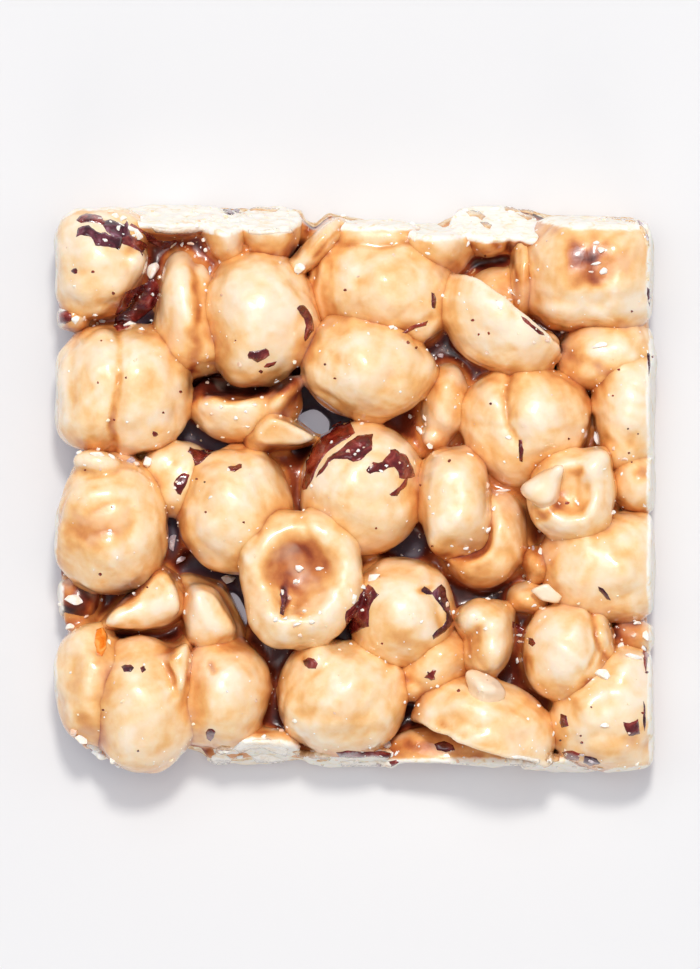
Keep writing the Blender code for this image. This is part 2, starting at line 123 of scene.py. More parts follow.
# What makes each form its own. Each entry adds to the oval, in order:
# lobe   x, y, rx, ry, turn, top, low, blend    a swelling that flows into it
# flat   x, y, z, heading, lean, blend          a face that it is cut back to
# cut    the same, and the face shows the nut's white flesh
# bowl   x, y, rx, ry, floor, rim, blend        a hollow from above
# groove half width, depth, x, y, x, y ...      a crease in the top
# dome   x, y, radius, height                   a small swelling of the glaze
# bare   x, y, rx, ry, turn                     a patch with the flesh bare
FORMS = {
    "nut_corner_nw": [("lobe", 134, 262, 15, 20, 0, 14.4, 5.0, .8),
                      ("flat", 137, 298, 8, -42, 6, 2.5),
                      ("dome", 98, 256, 17, .35), ("dome", 84, 298, 14, .25),
                      ("groove", 7, .35, 66, 300, 90, 306, 112, 300)],
    "nut_split_w": [("lobe", 82, 424, 24, 22, 0, 12.6, 0.4, 2.4),
                    ("groove", 10, .6, 117, 325, 121, 350, 118, 400, 113, 446),
                    ("groove", 2.6, .20, 116, 326, 121, 345, 120, 382),
                    ("groove", 3.0, .32, 120, 378, 117, 400, 112, 425, 116, 450),
                    ("flat", 118, 328, 12, 88, 30, 1.0),
                    ("groove", 6, .25, 75, 345, 70, 380, 74, 430),
                    ("groove", 8, .22, 172, 360, 176, 395, 168, 430),
                    ("groove", 12, .5, 54, 340, 50, 390, 56, 440),
                    ("dome", 150, 365, 20, .3), ("dome", 92, 372, 15, .25)],
    "nut_west": [("flat", 66, 483, 8, 159, 0, 2.0),
                 ("lobe", 98, 462, 24, 12, -6, 14.6, 9.0, 1.0),
                 ("groove", 9, .3, 125, 480, 133, 520, 128, 560),
                 ("dome", 90, 492, 15, .35), ("dome", 130, 548, 17, .3),
                 ("groove", 10, .3, 62, 520, 95, 532, 128, 530)],
    "nut_sw_low": [("dome", 90, 655, 12, .3),
                   ("groove", 8, .3, 75, 660, 74, 700, 84, 735)],
    "nut_sw": [("block", 1.2, .8, 14, 15.5, 180, 660, 60, 80, 5.0,
               160, 655, 176, 643, 189, 637, 195, 650, 191, 690, 178, 700),
               ("dome", 134, 680, 17, .35)],
    "nut_s1": [("dome", 236, 684, 22, .25),
               ("lobe", 208, 664, 18, 14, 30, 13.4, 6.0, 1.2),
               ("groove", 9, .3, 196, 690, 200, 720, 214, 745)],
    "lobe_n": [("lobe", 199, 343, 34, 26, -36, 12.0, 0.4, 4.5),
               ("lobe", 203, 300, 13, 50, 0, 11.6, 0.4, 1.6),
               ("groove", 5, .3, 194, 262, 195, 290, 200, 320)],
    "nut_n1": [("lobe", 246, 360, 20, 22, 0, 13.6, 4.0, 3.5),
               ("groove", 7, .22, 293, 280, 306, 305, 303, 345),
               ("groove", 10, .2, 222, 300, 219, 335, 232, 368),
               ("dome", 246, 305, 22, .35), ("dome", 262, 345, 16, .2)],
    "cup_inner": [("bowl", 238, 371, 55, 31, 4.6, 13.8, 1.3),
                  ("lobe", 283, 396, 26, 11, 46, 13.6, 5.0, 1.0),
                  ("dome", 200, 406, 10, .5), ("dome", 217, 408, 10, .45),
                  ("dome", 256, 410, 12, .35)],
    "shard_inner": [("block", None, .5, 12, 14.1, 274, 422, 250, 64, 5.0,
                 258, 424, 270, 413, 288, 418, 318, 438, 303, 446, 262, 447,
                 250, 438),
                ("flat", 286, 430, 13.4, -60, 58, .4),
                ("lobe", 259, 440, 13, 10, 0, 12.0, 4.0, .8)],
    "nut_w_low": [("lobe", 160, 462, 20, 14, 25, 10.8, 3.0, 1.5)],
    "nut_w2": [("dome", 226, 488, 20, .4), ("dome", 212, 524, 12, .25),
               ("groove", 9, .28, 276, 462, 285, 490, 276, 515),
               ("groove", 10, .3, 192, 520, 205, 548, 228, 566)],
    "cup_centre": [("lobe", 296, 618, 42, 30, 0, 16.9, 8.0, 2.5),
                   ("bowl", 302, 569, 43, 40, 13.2, 18.8, 3.3),
                   ("bowl", 294, 600, 22, 18, 14.9, 18.0, 1.6),
                   ("groove", 2.4, .30, 283, 588, 287, 600, 284, 615),
                   ("dome", 293, 617, 8, .3), ("dome", 312, 622, 9, .3),
                   ("dome", 304, 608, 5, .3), ("dome", 268, 616, 9, .3)],
    "wedge_w": [("block", None, 1.0, 7, 14.3, 150, 611, 125, 72, 1.0,
            161, 562, 174, 570, 182, 584, 184, 604, 178, 620, 164, 631,
            146, 633, 124, 632, 101, 631, 96, 620, 103, 607, 155, 568),
            ("flat", 145, 620, 13.3, -80, 48, 1.0)],
    "wedge_w2": [("block", None, 1.6, 16, 14.4, 203, 603, 204, 73, 0.6,
            184, 578, 202, 578, 222, 585, 233, 600, 240, 617, 246, 636,
            229, 647, 205, 652, 186, 646, 178, 606),
            ("flat", 206, 603, 13.9, 22, 58, .4),
            ("flat", 205, 637, 12.6, -84, 50, 1.2)],
    "nut_n2": [("lobe", 372, 285, 55, 56, 4, 15.0, 0.4, .12),
               ("lobe", 354, 284, 46, 50, 6, 13.7, 0.4, .15),
               ("lobe", 418, 318, 24, 26, 20, 13.2, 3.0, 2.6),
               ("lobe", 378, 238, 48, 24, -4, 13.2, 2.0, .5),
               ("cut", 378, 215, 1.0, 90, 7, .5),
               ("groove", 5, .3, 398, 331, 414, 326, 430, 318),
               ("groove", 7, .2, 362, 258, 392, 250, 420, 262),
               ("groove", 3, .3, 318, 262, 313, 290, 318, 318),
               ("dome", 373, 272, 22, .35), ("dome", 402, 300, 15, .2)],
    "nut_centre_n": [("lobe", 345, 332, 24, 14, 14, 13.0, 6.0, 2.0),
                     ("lobe", 414, 368, 18, 16, -30, 13.8, 5.0, 2.0),
                     ("dome", 363, 345, 22, .3), ("dome", 372, 374, 12, .2),
                     ("groove", 10, .22, 318, 360, 330, 392, 360, 408)],
    "nut_centre": [("dome", 345, 478, 26, .2), ("dome", 388, 533, 13, .25),
                   ("groove", 10, .25, 372, 500, 400, 500, 412, 480),
                   ("groove", 9, .25, 316, 498, 335, 520, 350, 540)],
    "nut_c_low": [("dome", 446, 386, 8, .5), ("dome", 449, 424, 8, .5),
                  ("lobe", 432, 438, 13, 12, 0, 10.6, 3.0, 1.2)],
    "half_c": [("flat", 455, 503, 16.0, 200, 84, 1.2),
               ("flat", 455, 552, 11.0, -80, 30, 1.2),
               ("dome", 457, 518, 6, .3), ("dome", 450, 475, 16, .15)],
    "crescent_c": [("bowl", 458, 520, 38, 46, 7.5, 14.5, .9),
                   ("dome", 468, 570, 10, .35), ("dome", 508, 520, 13, .2)],
    "nut_s3": [("lobe", 430, 612, 19, 17, -40, 14.4, 6.0, .35),
               ("dome", 395, 605, 20, .3), ("dome", 400, 630, 18, .25),
               ("groove", 5, .4, 425, 590, 436, 604, 440, 626),
               ("groove", 8, .3, 372, 572, 400, 568, 430, 578)],
    "nut_s2": [("lobe", 318, 660, 18, 17, 30, 14.6, 6.0, 1.2),
               ("groove", 8, .22, 300, 712, 340, 717, 385, 706),
               ("groove", 8, .2, 306, 738, 340, 734, 380, 728),
               ("dome", 334, 660, 13, .3), ("dome", 356, 690, 22, .2)],
    "nut_s3_low": [("lobe", 414, 687, 14, 13, 40, 11.0, 2.0, 1.2),
                   ("dome", 440, 652, 10, .5)],
    "peanut_s": [("lobe", 474, 617, 20, 18, 20, 15.0, 4.0, 1.0),
                 ("groove", 9, .35, 478, 640, 494, 638, 512, 630),
                 ("dome", 490, 622, 11, .3), ("dome", 496, 658, 12, .3)],
    "edge_n1": [("cut", 172, 203, 1.0, 90, 13, .35),
                ("groove", 6, .4, 150, 236, 172, 240, 200, 236)],
    "edge_n2": [("flat", 212, 240, 12.0, 200, 40, .8),
                ("cut", 222, 205, 1.0, 90, 14, .4)],
    "edge_n3": [("cut", 272, 204, 1.0, 90, 14, .35),
                ("groove", 8, .3, 250, 244, 272, 250, 290, 246)],
    "sliver_n": [("lobe", 298, 265, 10, 8, 30, 12.2, 5.0, .8),
                 ("groove", 3, .4, 340, 228, 326, 244, 314, 258)],
    "nut_n3": [("cut", 430, 221, 1.0, 90, 8, .6),
               ("dome", 430, 240, 12, .25)],
    "edge_n4": [("cut", 493, 205, 2.0, 88, 22, .3),
                ("lobe", 486, 243, 16, 13, 0, 12.6, 2.0, .6),
                ("groove", 3, .5, 508, 206, 510, 232, 508, 250),
                ("lobe", 528, 232, 14, 20, 20, 13.4, 0.4, .8)],
    "nut_n_low": [("dome", 490, 290, 10, .3)],
    "wall_n": [("groove", 3, .4, 520, 250, 518, 300)],
    "half_ne": [("flat", 511, 312, 12.0, 53, -9, .3),
                ("lobe", 547, 343, 13, 10, -20, 13.6, 6.0, .35),
                ("groove", 8, .2, 462, 330, 480, 345, 510, 350),
                ("dome", 486, 322, 18, .25)],
    "nut_corner_ne": [("dome", 586, 264, 40, -.55),
                  ("groove", 8, .35, 540, 300, 580, 305, 640, 298),
                  ("groove", 10, .35, 540, 323, 600, 327, 630, 315),
                  ("flat", 545, 236, 14.0, 140, 20, 2.0),
                  ("cut", 600, 211, 0.5, 88, 7, .8),
                  ("dome", 572, 316, 14, .3)],
    "nut_e_low": [("groove", 6, .3, 562, 352, 575, 362, 596, 366),
                  ("dome", 594, 347, 12, .4)],
    "nut_e1": [("lobe", 624, 452, 26, 20, 0, 12.8, 0.4, 1.6),
               ("groove", 8, .22, 603, 420, 625, 436, 648, 440),
               ("dome", 622, 366, 9, .2)],
    "nut_e1_tail": [("dome", 640, 480, 9, .2)],
    "nut_e2": [("lobe", 512, 452, 30, 34, 0, 13.8, 0.4, 2.0),
               ("groove", 10, .55, 511, 366, 504, 395, 508, 425, 519, 440),
               ("groove", 3.2, .30, 512, 368, 505, 395, 508, 425, 519, 442),
               ("groove", 9, .2, 470, 396, 486, 410, 490, 440),
               ("dome", 556, 405, 24, .5), ("dome", 484, 398, 18, .3)],
    "cup_e": [("bowl", 568, 488, 31, 36, 14.6, 18.6, 1.0),
              ("lobe", 594, 466, 12, 20, -36, 16.6, 8.0, 2.4),
              ("groove", 5, .22, 578, 468, 575, 490, 581, 514)],
    "flap_e": [("block", None, 1.7, 5, 17.3, 543, 486, 222, 80, 13.6,
            517, 490, 531, 474, 549, 461, 571, 460, 566, 482, 559, 505,
            546, 513, 526, 503),
               ("dome", 558, 470, 9, .25)],
    "nut_e3": [("dome", 570, 555, 20, .2), ("dome", 622, 568, 14, .25),
               ("lobe", 556, 556, 14, 16, 0, 11.5, 4.0, 1.4),
               ("groove", 9, .3, 560, 590, 600, 600, 640, 592)],
    "bit_e": [("dome", 540, 568, 7, .3)],
    "nut_e_low2": [],
    "chip_e": [("block", None, .2, 4, 13.8, 546, 591, 250, 72, 12.6,
            530, 590, 547, 584, 563, 596, 558, 603, 541, 600)],
    "nut_s5": [("groove", 2.4, .30, 588, 610, 597, 626, 596, 650, 587, 668),
           ("lobe", 600, 636, 13, 26, 12, 14.0, 2.0, .3),
           ("dome", 577, 628, 9, .3)],
    "bit_se": [],
    "nut_corner_se": [("lobe", 626, 680, 34, 34, -20, 13.8, 0.4, 1.6),
                  ("lobe", 622, 752, 34, 22, -10, 11.0, 0.4, 1.6),
                  ("dome", 582, 708, 9, .3), ("dome", 626, 668, 10, .3),
                  ("groove", 8, .35, 578, 742, 600, 732, 632, 740),
                  ("groove", 8, -.3, 580, 700, 610, 690, 640, 700)],
    "half_s": [("flat", 475, 743, 11.0, -107, -8, .3),
               ("groove", 9, .25, 420, 722, 460, 716, 520, 738),
               ("groove", 8, -.25, 430, 712, 470, 700, 530, 722),
               ("dome", 486, 716, 16, .3)],
    "bit_s": [("block", None, 1.2, 42, 16.4, 489, 686, 80, 84, 13.0,
            468, 665, 478, 666, 486, 674, 500, 675, 509, 682, 509, 692,
            499, 700, 484, 705, 471, 697, 466, 684),
              ("dome", 480, 684, 10, .25), ("dome", 497, 687, 8, .2)],
    "edge_s1": [("cut", 252, 768, 1.0, -90, 17, .3),
             ("lobe", 222, 760, 16, 10, 12, 8.4, 0.4, .5)],
    "edge_s2": [("cut", 350, 770, 1.0, -90, 14, .3)],
    "edge_s3": [("cut", 466, 769, 1.0, -90, 5, .3),
             ("groove", 6, .3, 410, 744, 440, 752, 480, 758)],
    "edge_s4": [("cut", 562, 775, 1.0, -88, 11, .3)],
    "edge_w": [("cut", 57, 602, 4.0, 180, 4, .4)],
    "bit_w": [("cut", 56, 316, 4.0, 180, 4, .4)],
}

# how many millimetres of low swells and of fine ripple each form has
SWELL, RIPPLE = 0.20, 0.010
CRUMBLY = 0.07            # how rough a cut or broken face is


def smin(a, b, k):
    h = np.maximum(k - np.abs(a - b), 0.0) / k
    return np.minimum(a, b) - h * h * k * 0.25


def smax(a, b, k):
    h = np.maximum(k - np.abs(a - b), 0.0) / k
    return np.maximum(a, b) + h * h * k * 0.25


def step01(v, lo, hi):
    t = np.clip((v - lo) / (hi - lo), 0.0, 1.0)
    return t * t * (3.0 - 2.0 * t)


def waves(x, y, z, seed, length, count=6):
    """Smooth noise of about unit size, made of a few plane waves."""
    rng = np.random.default_rng(seed)
    total = 0.0
    for _ in range(count):
        d = rng.normal(size=3)
        d *= 2 * np.pi / (length * rng.uniform(0.7, 1.5)) / np.linalg.norm(d)
        total = total + np.sin(d[0] * x + d[1] * y + d[2] * z
                               + rng.uniform(0, 2 * np.pi))
    return total * (1.4 / np.sqrt(count) / 1.0) * 0.7


def oval(x, y, z, cx, cy, rx, ry, turn, top, low, n=2.1):
    a, b, c = rx * STEP, ry * STEP, (top - low) * 0.5
    x, y, z = x - gx(cx), y - gy(cy), z - (top + low) * 0.5
    t = np.radians(turn)
    u, v = x * np.cos(t) + y * np.sin(t), y * np.cos(t) - x * np.sin(t)
    plan = (np.abs(u / a) ** n + np.abs(v / b) ** n) ** (2.0 / n)
    f = np.sqrt(plan + (z / c) ** 2)
    r = np.sqrt(x * x + y * y + z * z)
    return np.where(f > 1e-3, r * (1.0 - 1.0 / np.maximum(f, 1e-3)),
                    -min(a, b, c))


def to_line(x, y, points):
    """Distance in mm, in plan, to a bent line given in layout steps."""
    best = None
    for (x0, y0), (x1, y1) in zip(points, points[1:]):
        ax, ay, bx, by = gx(x0), gy(y0), gx(x1), gy(y1)
        dx, dy = bx - ax, by - ay
        t = np.clip(((x - ax) * dx + (y - ay) * dy) / (dx * dx + dy * dy), 0, 1)
        d = np.hypot(x - ax - t * dx, y - ay - t * dy)
        best = d if best is None else np.minimum(best, d)
    return best


def face(x, y, z, px, py, pz, heading, lean):
    """Signed distance to a plane: positive on the side that is cut away."""
    h, l = np.radians(heading), np.radians(lean)
    return ((x - gx(px)) * np.cos(h) * np.cos(l)
            + (y - gy(py)) * np.sin(h) * np.cos(l) + (z - pz) * np.sin(l))


def block(x, y, z, k, splay, top, px, py, heading, lean, low, *outline):
    """A broken piece: straight sides round an outline in plan, leaning in
    upwards by splay degrees, under a tilted top."""
    pts = [(gx(a), gy(b)) for a, b in zip(outline[::2], outline[1::2])]
    mid = np.mean(pts, 0)
    d = smax(face(x, y, z, px, py, top, heading, lean), low - z, k)
    for (ax, ay), (bx, by) in zip(pts, pts[1:] + pts[:1]):
        nx, ny = by - ay, ax - bx
        if nx * (ax - mid[0]) + ny * (ay - mid[1]) < 0:
            nx, ny = -nx, -ny
        n = np.hypot(nx, ny)
        side = (x - ax) * nx / n + (y - ay) * ny / n \
            + (z - (top + low) * 0.5) * np.tan(np.radians(splay)) * 0.5
        d = smax(d, side, k)
    return d


def seed_of(name):
    return sum((k + 3) * ord(c) for k, c in enumerate(name))


def form(name, x, y, z):
    """The form's field on open lattice axes, below zero inside, and how
    nearly each point lies on a cut face (0 to 1)."""
    row = OVALS[name]
    d = oval(x, y, z, *row)
    middle = (row[5] + row[6]) * 0.5
    seed = seed_of(name)
    flesh = None
    late, patches = [], []
    for kind, *p in FORMS.get(name, []):
        if kind == "lobe":
            d = smin(d, oval(x, y, z, *p[:7]), p[7])
        elif kind == "block":
            stone = block(x, y, z, *p[1:])
            d = stone if p[0] is None else smin(d, stone, p[0])
        elif kind == "flat":
            d = smax(d, face(x, y, z, *p[:5]), p[5])
        elif kind == "cut":
            late.append(p)
        elif kind == "bare":
            patches.append(p)
        elif kind == "bowl":
            cx, cy, rx, ry, floor, rim, k = p
            d = smax(d, -oval(x, y, z, cx, cy, rx, ry, 0, 2 * rim - floor,
                              floor), k)
        elif kind == "groove":
            line = list(zip(p[2::2], p[3::2]))
            w = p[0] * STEP
            d = d + p[1] * np.exp(-(to_line(x, y, line) / w) ** 2) \
                * step01(z, middle - 2.0, middle + 2.0)
        elif kind == "dome":
            w = p[2] * STEP
            away = (x - gx(p[0])) ** 2 + (y - gy(p[1])) ** 2
            d = d - p[3] * np.exp(-away / (w * w)) \
                * step01(z, middle, middle + 2.0)
    size = min(row[2], row[3]) / 50.0
    upper = step01(z, middle - 1.0, middle + 2.5)
    if size > 0.75:
        # a few shallow folds and ridges run over each whole nut
        rng = np.random.default_rng(seed + 7)
        for k in range(4):
            turn = rng.uniform(0, 2 * np.pi)
            off = rng.uniform(-0.45, 0.45) * row[3]
            bend = rng.uniform(-0.35, 0.35) * row[3]
            line = []
            for s in (-1.0, -0.4, 0.2, 0.9):
                u, v = s * row[2] * 1.1, off + bend * (1 - s * s)
                line.append((row[0] + u * np.cos(turn) - v * np.sin(turn),
                             row[1] + u * np.sin(turn) + v * np.cos(turn)))
            w = rng.uniform(4.0, 8.0) * STEP
            much = rng.uniform(0.05, 0.13) * (1 if k % 2 else -1)
            d = d + much * np.exp(-(to_line(x, y, line) / w) ** 2) * upper
    d = d + SWELL * min(1.0, 0.4 + size) * waves(x, y, z, seed, 7.0) \
        + 0.10 * min(1.0, 0.5 + size) * (0.7 - np.abs(
            waves(x, y, z, seed + 5, 5.2))) \
        + 0.035 * waves(x, y, z, seed + 1, 2.8) \
        + RIPPLE * waves(x, y, z, seed + 2, 1.1)
    for px, py, pz, heading, lean, k in late:
        plane = face(x, y, z, px, py, pz, heading, lean)
        much = CRUMBLY * (1.4 if name.startswith("edge") else 1.0)
        rough = much * waves(x, y, z, seed + 3, 2.0, 9) \
            + 0.45 * much * waves(x, y, z, seed + 4, 0.95, 9)
        plane = plane + rough
        d = smax(d, plane, k)
        near = 1.0 - step01(np.abs(plane), 0.1, 1.1)
        flesh = near if flesh is None else np.maximum(flesh, near)
    for px, py, rx, ry, turn in patches:
        u, v = x - gx(px), y - gy(py)
        t = np.radians(turn)
        away = np.hypot((u * np.cos(t) + v * np.sin(t)) / (rx * STEP),
                        (v * np.cos(t) - u * np.sin(t)) / (ry * STEP))
        near = (1.0 - step01(away, 0.7, 1.3)) + 0.0 * z
        flesh = near if flesh is None else np.maximum(flesh, near)
    return d, flesh


class Lattice:
    """The shared grid on which every form is cut."""

    def __init__(self, cell):
        self.cell = cell
        self.low = np.array([-37.4, -35.6, -0.9])
        self.size = np.ceil((np.array([37.4, 35.6, 18.6]) - self.low)
                            / cell).astype(int) + 1

    def axes(self, lo, hi):
        """Index range and open axes of the block between two corners."""
        i0 = np.clip(np.floor((np.array(lo) - self.low) / self.cell), 0,
                     self.size - 2).astype(int)
        i1 = np.clip(np.ceil((np.array(hi) - self.low) / self.cell) + 1, 2,
                     self.size).astype(int)
        ax = [self.low[k] + self.cell * np.arange(i0[k], i1[k])
              for k in range(3)]
        part = tuple(slice(a, b) for a, b in zip(i0, i1))
        return part, i0, (ax[0][:, None, None], ax[1][None, :, None],
                          ax[2][None, None, :])

    def sample(self, field, points, origin=(0, 0, 0)):
        """Trilinear reading of a field (a block starting at an index)."""
        g = (points - self.low) / self.cell - np.array(origin)
        top = np.array(field.shape) - 1.001
        g = np.clip(g, 0, top)
        i = g.astype(int)
        f = g - i
        out = 0.0
        for a in (0, 1):
            for b in (0, 1):
                for c in (0, 1):
                    w = (f[:, 0] if a else 1 - f[:, 0]) \
                        * (f[:, 1] if b else 1 - f[:, 1]) \
                        * (f[:, 2] if c else 1 - f[:, 2])
                    out = out + w * field[i[:, 0] + a, i[:, 1] + b,
                                          i[:, 2] + c]
        return out


def reach(name):
    """Corners of a box that holds a form."""
    rows = [OVALS[name][:7]]
    for kind, *p in FORMS.get(name, []):
        if kind == "lobe":
            rows.append(p[:7])
        elif kind == "block":
            xs, ys = p[9::2], p[10::2]
            rows.append(((min(xs) + max(xs)) / 2, (min(ys) + max(ys)) / 2,
                         (max(xs) - min(xs)) * 0.6, (max(ys) - min(ys)) * 0.6,
                         0, p[3] + 1.5, p[8] - 0.2))
    lo, hi = [], []
    for cx, cy, rx, ry, turn, top, low in rows:
        t = np.radians(turn)
        a = np.hypot(rx * np.cos(t), ry * np.sin(t)) * STEP * 1.13
        b = np.hypot(rx * np.sin(t), ry * np.cos(t)) * STEP * 1.13
        a, b = max(a, 0.85 * max(rx, ry) * STEP * abs(np.cos(t))), b
        lo.append((gx(cx) - a, gy(cy) - b, low))
        hi.append((gx(cx) + a, gy(cy) + b, top))
    return np.min(lo, 0), np.max(hi, 0)


def even(d, cell):
    """Divides a field by its slope, so that it reads as millimetres."""
    g = np.gradient(d, cell)
    slope = np.sqrt(g[0] ** 2 + g[1] ** 2 + g[2] ** 2)
    return d / np.clip(slope, 0.45, 2.2)


def near_side(x):
    """Where the near (lower) cut side runs, in mm, along the bar."""
    px = x / STEP + MIDX
    line = np.interp(px, [60, 95, 120, 160, 172, 182, 200, 208, 235, 270, 300,
                          320, 392, 400, 440, 470, 485, 540, 600, 612, 646],
                     [756, 768, 779, 780, 771, 754, 757, 767, 768, 765, 766,
                      770, 769, 762, 764, 766, 770, 772, 776, 772, 769])
    return gy(line)


def nets(d, low, cell):
    """The closed surface where a block's field is zero, as points and
    quadrangles: one point in each cell that the surface crosses."""
    inside = d < 0
    nx, ny, nz = d.shape
    cnt = np.zeros((nx - 1, ny - 1, nz - 1), np.float32)
    pos = np.zeros((3, nx - 1, ny - 1, nz - 1), np.float32)
    for axis in range(3):
        a = [slice(None)] * 3
        b = [slice(None)] * 3
        a[axis], b[axis] = slice(0, -1), slice(1, None)
        da, db = d[tuple(a)], d[tuple(b)]
        hit = inside[tuple(a)] != inside[tuple(b)]
        t = np.where(hit, da / np.where(hit, da - db, 1.0), 0.0)
        others = [k for k in range(3) if k != axis]
        for s0 in (0, 1):
            for s1 in (0, 1):
                pick = [slice(None)] * 3
                pick[others[0]] = slice(s0, d.shape[others[0]] - 1 + s0)
                pick[others[1]] = slice(s1, d.shape[others[1]] - 1 + s1)
                h = hit[tuple(pick)]
                cnt += h
                pos[axis] += np.where(h, t[tuple(pick)], 0.0)
                pos[others[0]] += h * s0
                pos[others[1]] += h * s1
    used = cnt > 0
    index = -np.ones(cnt.shape, np.int64)
    index[used] = np.arange(int(used.sum()))
    base = np.argwhere(used)
    points = (pos[:, used] / cnt[used]).T + base
    quads = []
    for axis in range(3):
        o0, o1 = [(1, 2), (2, 0), (0, 1)][axis]
        a = [slice(1, -1)] * 3
        b = [slice(1, -1)] * 3
        a[axis], b[axis] = slice(0, -1), slice(1, None)
        ia, ib = inside[tuple(a)], inside[tuple(b)]
        for flip, mask in ((False, ia & ~ib), (True, ~ia & ib)):
            at = np.argwhere(mask)
            at[:, o0] += 1
            at[:, o1] += 1
            ring = []
            for s0, s1 in ((1, 1), (0, 1), (0, 0), (1, 0)):
                c = at.copy()
                c[:, o0] -= s0
                c[:, o1] -= s1
                ring.append(index[c[:, 0], c[:, 1], c[:, 2]])
            ring = np.stack(ring if not flip else ring[::-1], 1)
            quads.append(ring)
    return points * cell + low, np.concatenate(quads)


def settle_on(lattice, field, points, origin, rounds=2):
    """Draws points onto the zero surface along the field's slope."""
    grad = np.gradient(field, lattice.cell)
    for _ in range(rounds):
        d = lattice.sample(field, points, origin)
        g = np.stack([lattice.sample(q, points, origin) for q in grad], 1)
        n2 = np.maximum((g * g).sum(1), 0.05)
        move = g * (d / n2)[:, None]
        move = np.clip(move, -0.4 * lattice.cell, 0.4 * lattice.cell)
        points = points - move
    return points

# ------------------------------------------------------- set caramel
FILM = 0.10               # how far under a nut's surface the caramel runs
LEVEL = 5.2               # where it stands in an ordinary gap
# where it stands higher or lower: x, y, rx, ry, level
POOLS = [
    (218, 258, 20, 26, 9.6), (300, 268, 9, 13, 3.4), (476, 266, 14, 18, 5.6),
    (500, 262, 18, 16, 6.0), (412, 718, 10, 20, 4.0), (128, 316, 16, 20, 5.0), (148, 285, 13, 34, 6.6), (150, 328, 12, 9, 2.4),
    (440, 352, 20, 18, 5.4), (466, 366, 20, 16, 6.4), (542, 362, 18, 10, 3.8),
    (588, 392, 9, 9, 5.0), (176, 432, 18, 12, 4.2), (212, 440, 24, 11, 4.0),
    (320, 415, 22, 22, 1.8), (240, 387, 46, 10, 2.4), (312, 325, 9, 9, 4.4), (172, 480, 8, 30, 4.2),
    (172, 530, 9, 24, 5.4), (200, 575, 20, 14, 3.2), (230, 602, 12, 26, 2.0),
    (100, 596, 40, 11, 4.0), (116, 640, 14, 12, 5.0), (207, 648, 12, 14, 6.0),
    (262, 645, 15, 16, 4.4), (280, 718, 12, 20, 4.6), (343, 624, 10, 20, 4.0),
    (407, 547, 15, 12, 4.4), (497, 592, 36, 11, 4.6), (424, 702, 24, 20, 4.4),
    (500, 476, 24, 14, 8.6), (498, 642, 9, 20, 5.0), (524, 632, 10, 16, 6.0),
    (548, 718, 8, 20, 5.4), (560, 742, 9, 9, 4.0), (428, 736, 30, 15, 4.6),
    (580, 758, 26, 12, 6.4), (636, 650, 14, 14, 7.0), (318, 480, 8, 30, 5.0),
    (258, 455, 14, 8, 5.6), (436, 346, 6, 14, 5.6), (425, 440, 9, 10, 7.6),
    (572, 440, 18, 18, 6.4), (517, 540, 9, 20, 7.2), (515, 570, 12, 12, 5.2),
    (600, 512, 10, 8, 8.6), (62, 610, 16, 18, 7.4), (84, 748, 24, 14, 6.6),
    (448, 560, 14, 10, 6.0), (374, 572, 12, 10, 7.6), (190, 350, 10, 20, 6.4),
    (640, 330, 16, 14, 8.8), (560, 240, 14, 22, 7.6), (330, 214, 14, 10, 9.0),
]
# the gaps that go right through, and the places low in a gap painted dark slate, a painted shadow that stands for
# shaded floor seen through the gap: x, y, rx, ry, turn
HOLES = [
    (152, 331, 12, 8, 12), (313, 426, 17, 17, 30), (237, 611, 8, 19, 22),
]
SLATE_SHADOWS = [
    (150, 322, 14, 12, 12), (205, 438, 26, 10, -14), (179, 431, 10, 8, -20),
    (543, 361, 14, 8, -8), (409, 547, 12, 10, 0), (561, 742, 10, 9, 0),
    (205, 572, 22, 12, 20), (582, 757, 20, 8, 14),
    (322, 412, 20, 16, 30), (234, 601, 7, 15, 22), (172, 520, 6, 26, 0),
]
# the far side's line, and its notch
FAR = [(40, 236), (56, 232), (62, 218), (76, 209), (100, 207), (140, 203),
       (200, 203), (240, 205), (300, 205), (305, 212), (314, 219), (323, 212),
       (330, 207), (350, 212), (405, 220), (430, 222), (450, 214), (458, 205),
       (530, 203), (548, 211), (600, 211),
       (636, 214), (648, 224), (652, 240), (670, 250)]


def far_side(x):
    px = x / STEP + MIDX
    return gy(np.interp(px, [p[0] for p in FAR], [p[1] for p in FAR]))


def walls(x, y, z):
    """Signed distance to the bar's cut sides: positive outside them."""
    wobble = 0.10 * waves(x, y, z, 71, 9.0) + 0.05 * waves(x, y, z, 72, 2.2)
    lean = 0.012 * (z - 8.0)
    d = np.maximum(-x - BAR_X + lean, x - BAR_X + 0.07 * (z - 3.0))
    d = np.maximum(d, y - far_side(x) + lean)
    d = np.maximum(d, near_side(x) - y + lean)
    return d + wobble


# the line in plan that the set caramel keeps within, between the outer nuts
RIM = [(62, 225), (75, 214), (100, 211), (125, 208), (215, 207), (300, 209),
       (306, 219), (314, 223), (322, 217), (330, 212), (350, 216), (405, 224),
       (430, 226), (455, 217), (462, 209), (530, 207), (548, 215), (600, 216),
       (635, 218), (645, 228), (649, 245), (649, 300), (646, 340), (648, 380),
       (649, 440), (650, 500), (648, 560), (648, 610), (644, 650), (640, 690),
       (640, 730), (640, 760), (630, 765), (605, 770), (560, 768), (480, 765),
       (460, 761), (400, 757), (393, 763), (330, 764), (300, 761), (270, 760),
       (212, 762), (202, 751), (180, 747), (150, 758), (118, 760), (100, 757), (86, 746),
       (72, 724), (64, 700), (62, 660), (72, 636), (66, 622), (62, 612),
       (62, 580), (60, 560), (60, 512), (70, 490), (84, 472), (86, 455),
       (74, 442), (62, 428), (62, 352), (76, 334), (66, 322), (60, 312),
       (60, 240)]


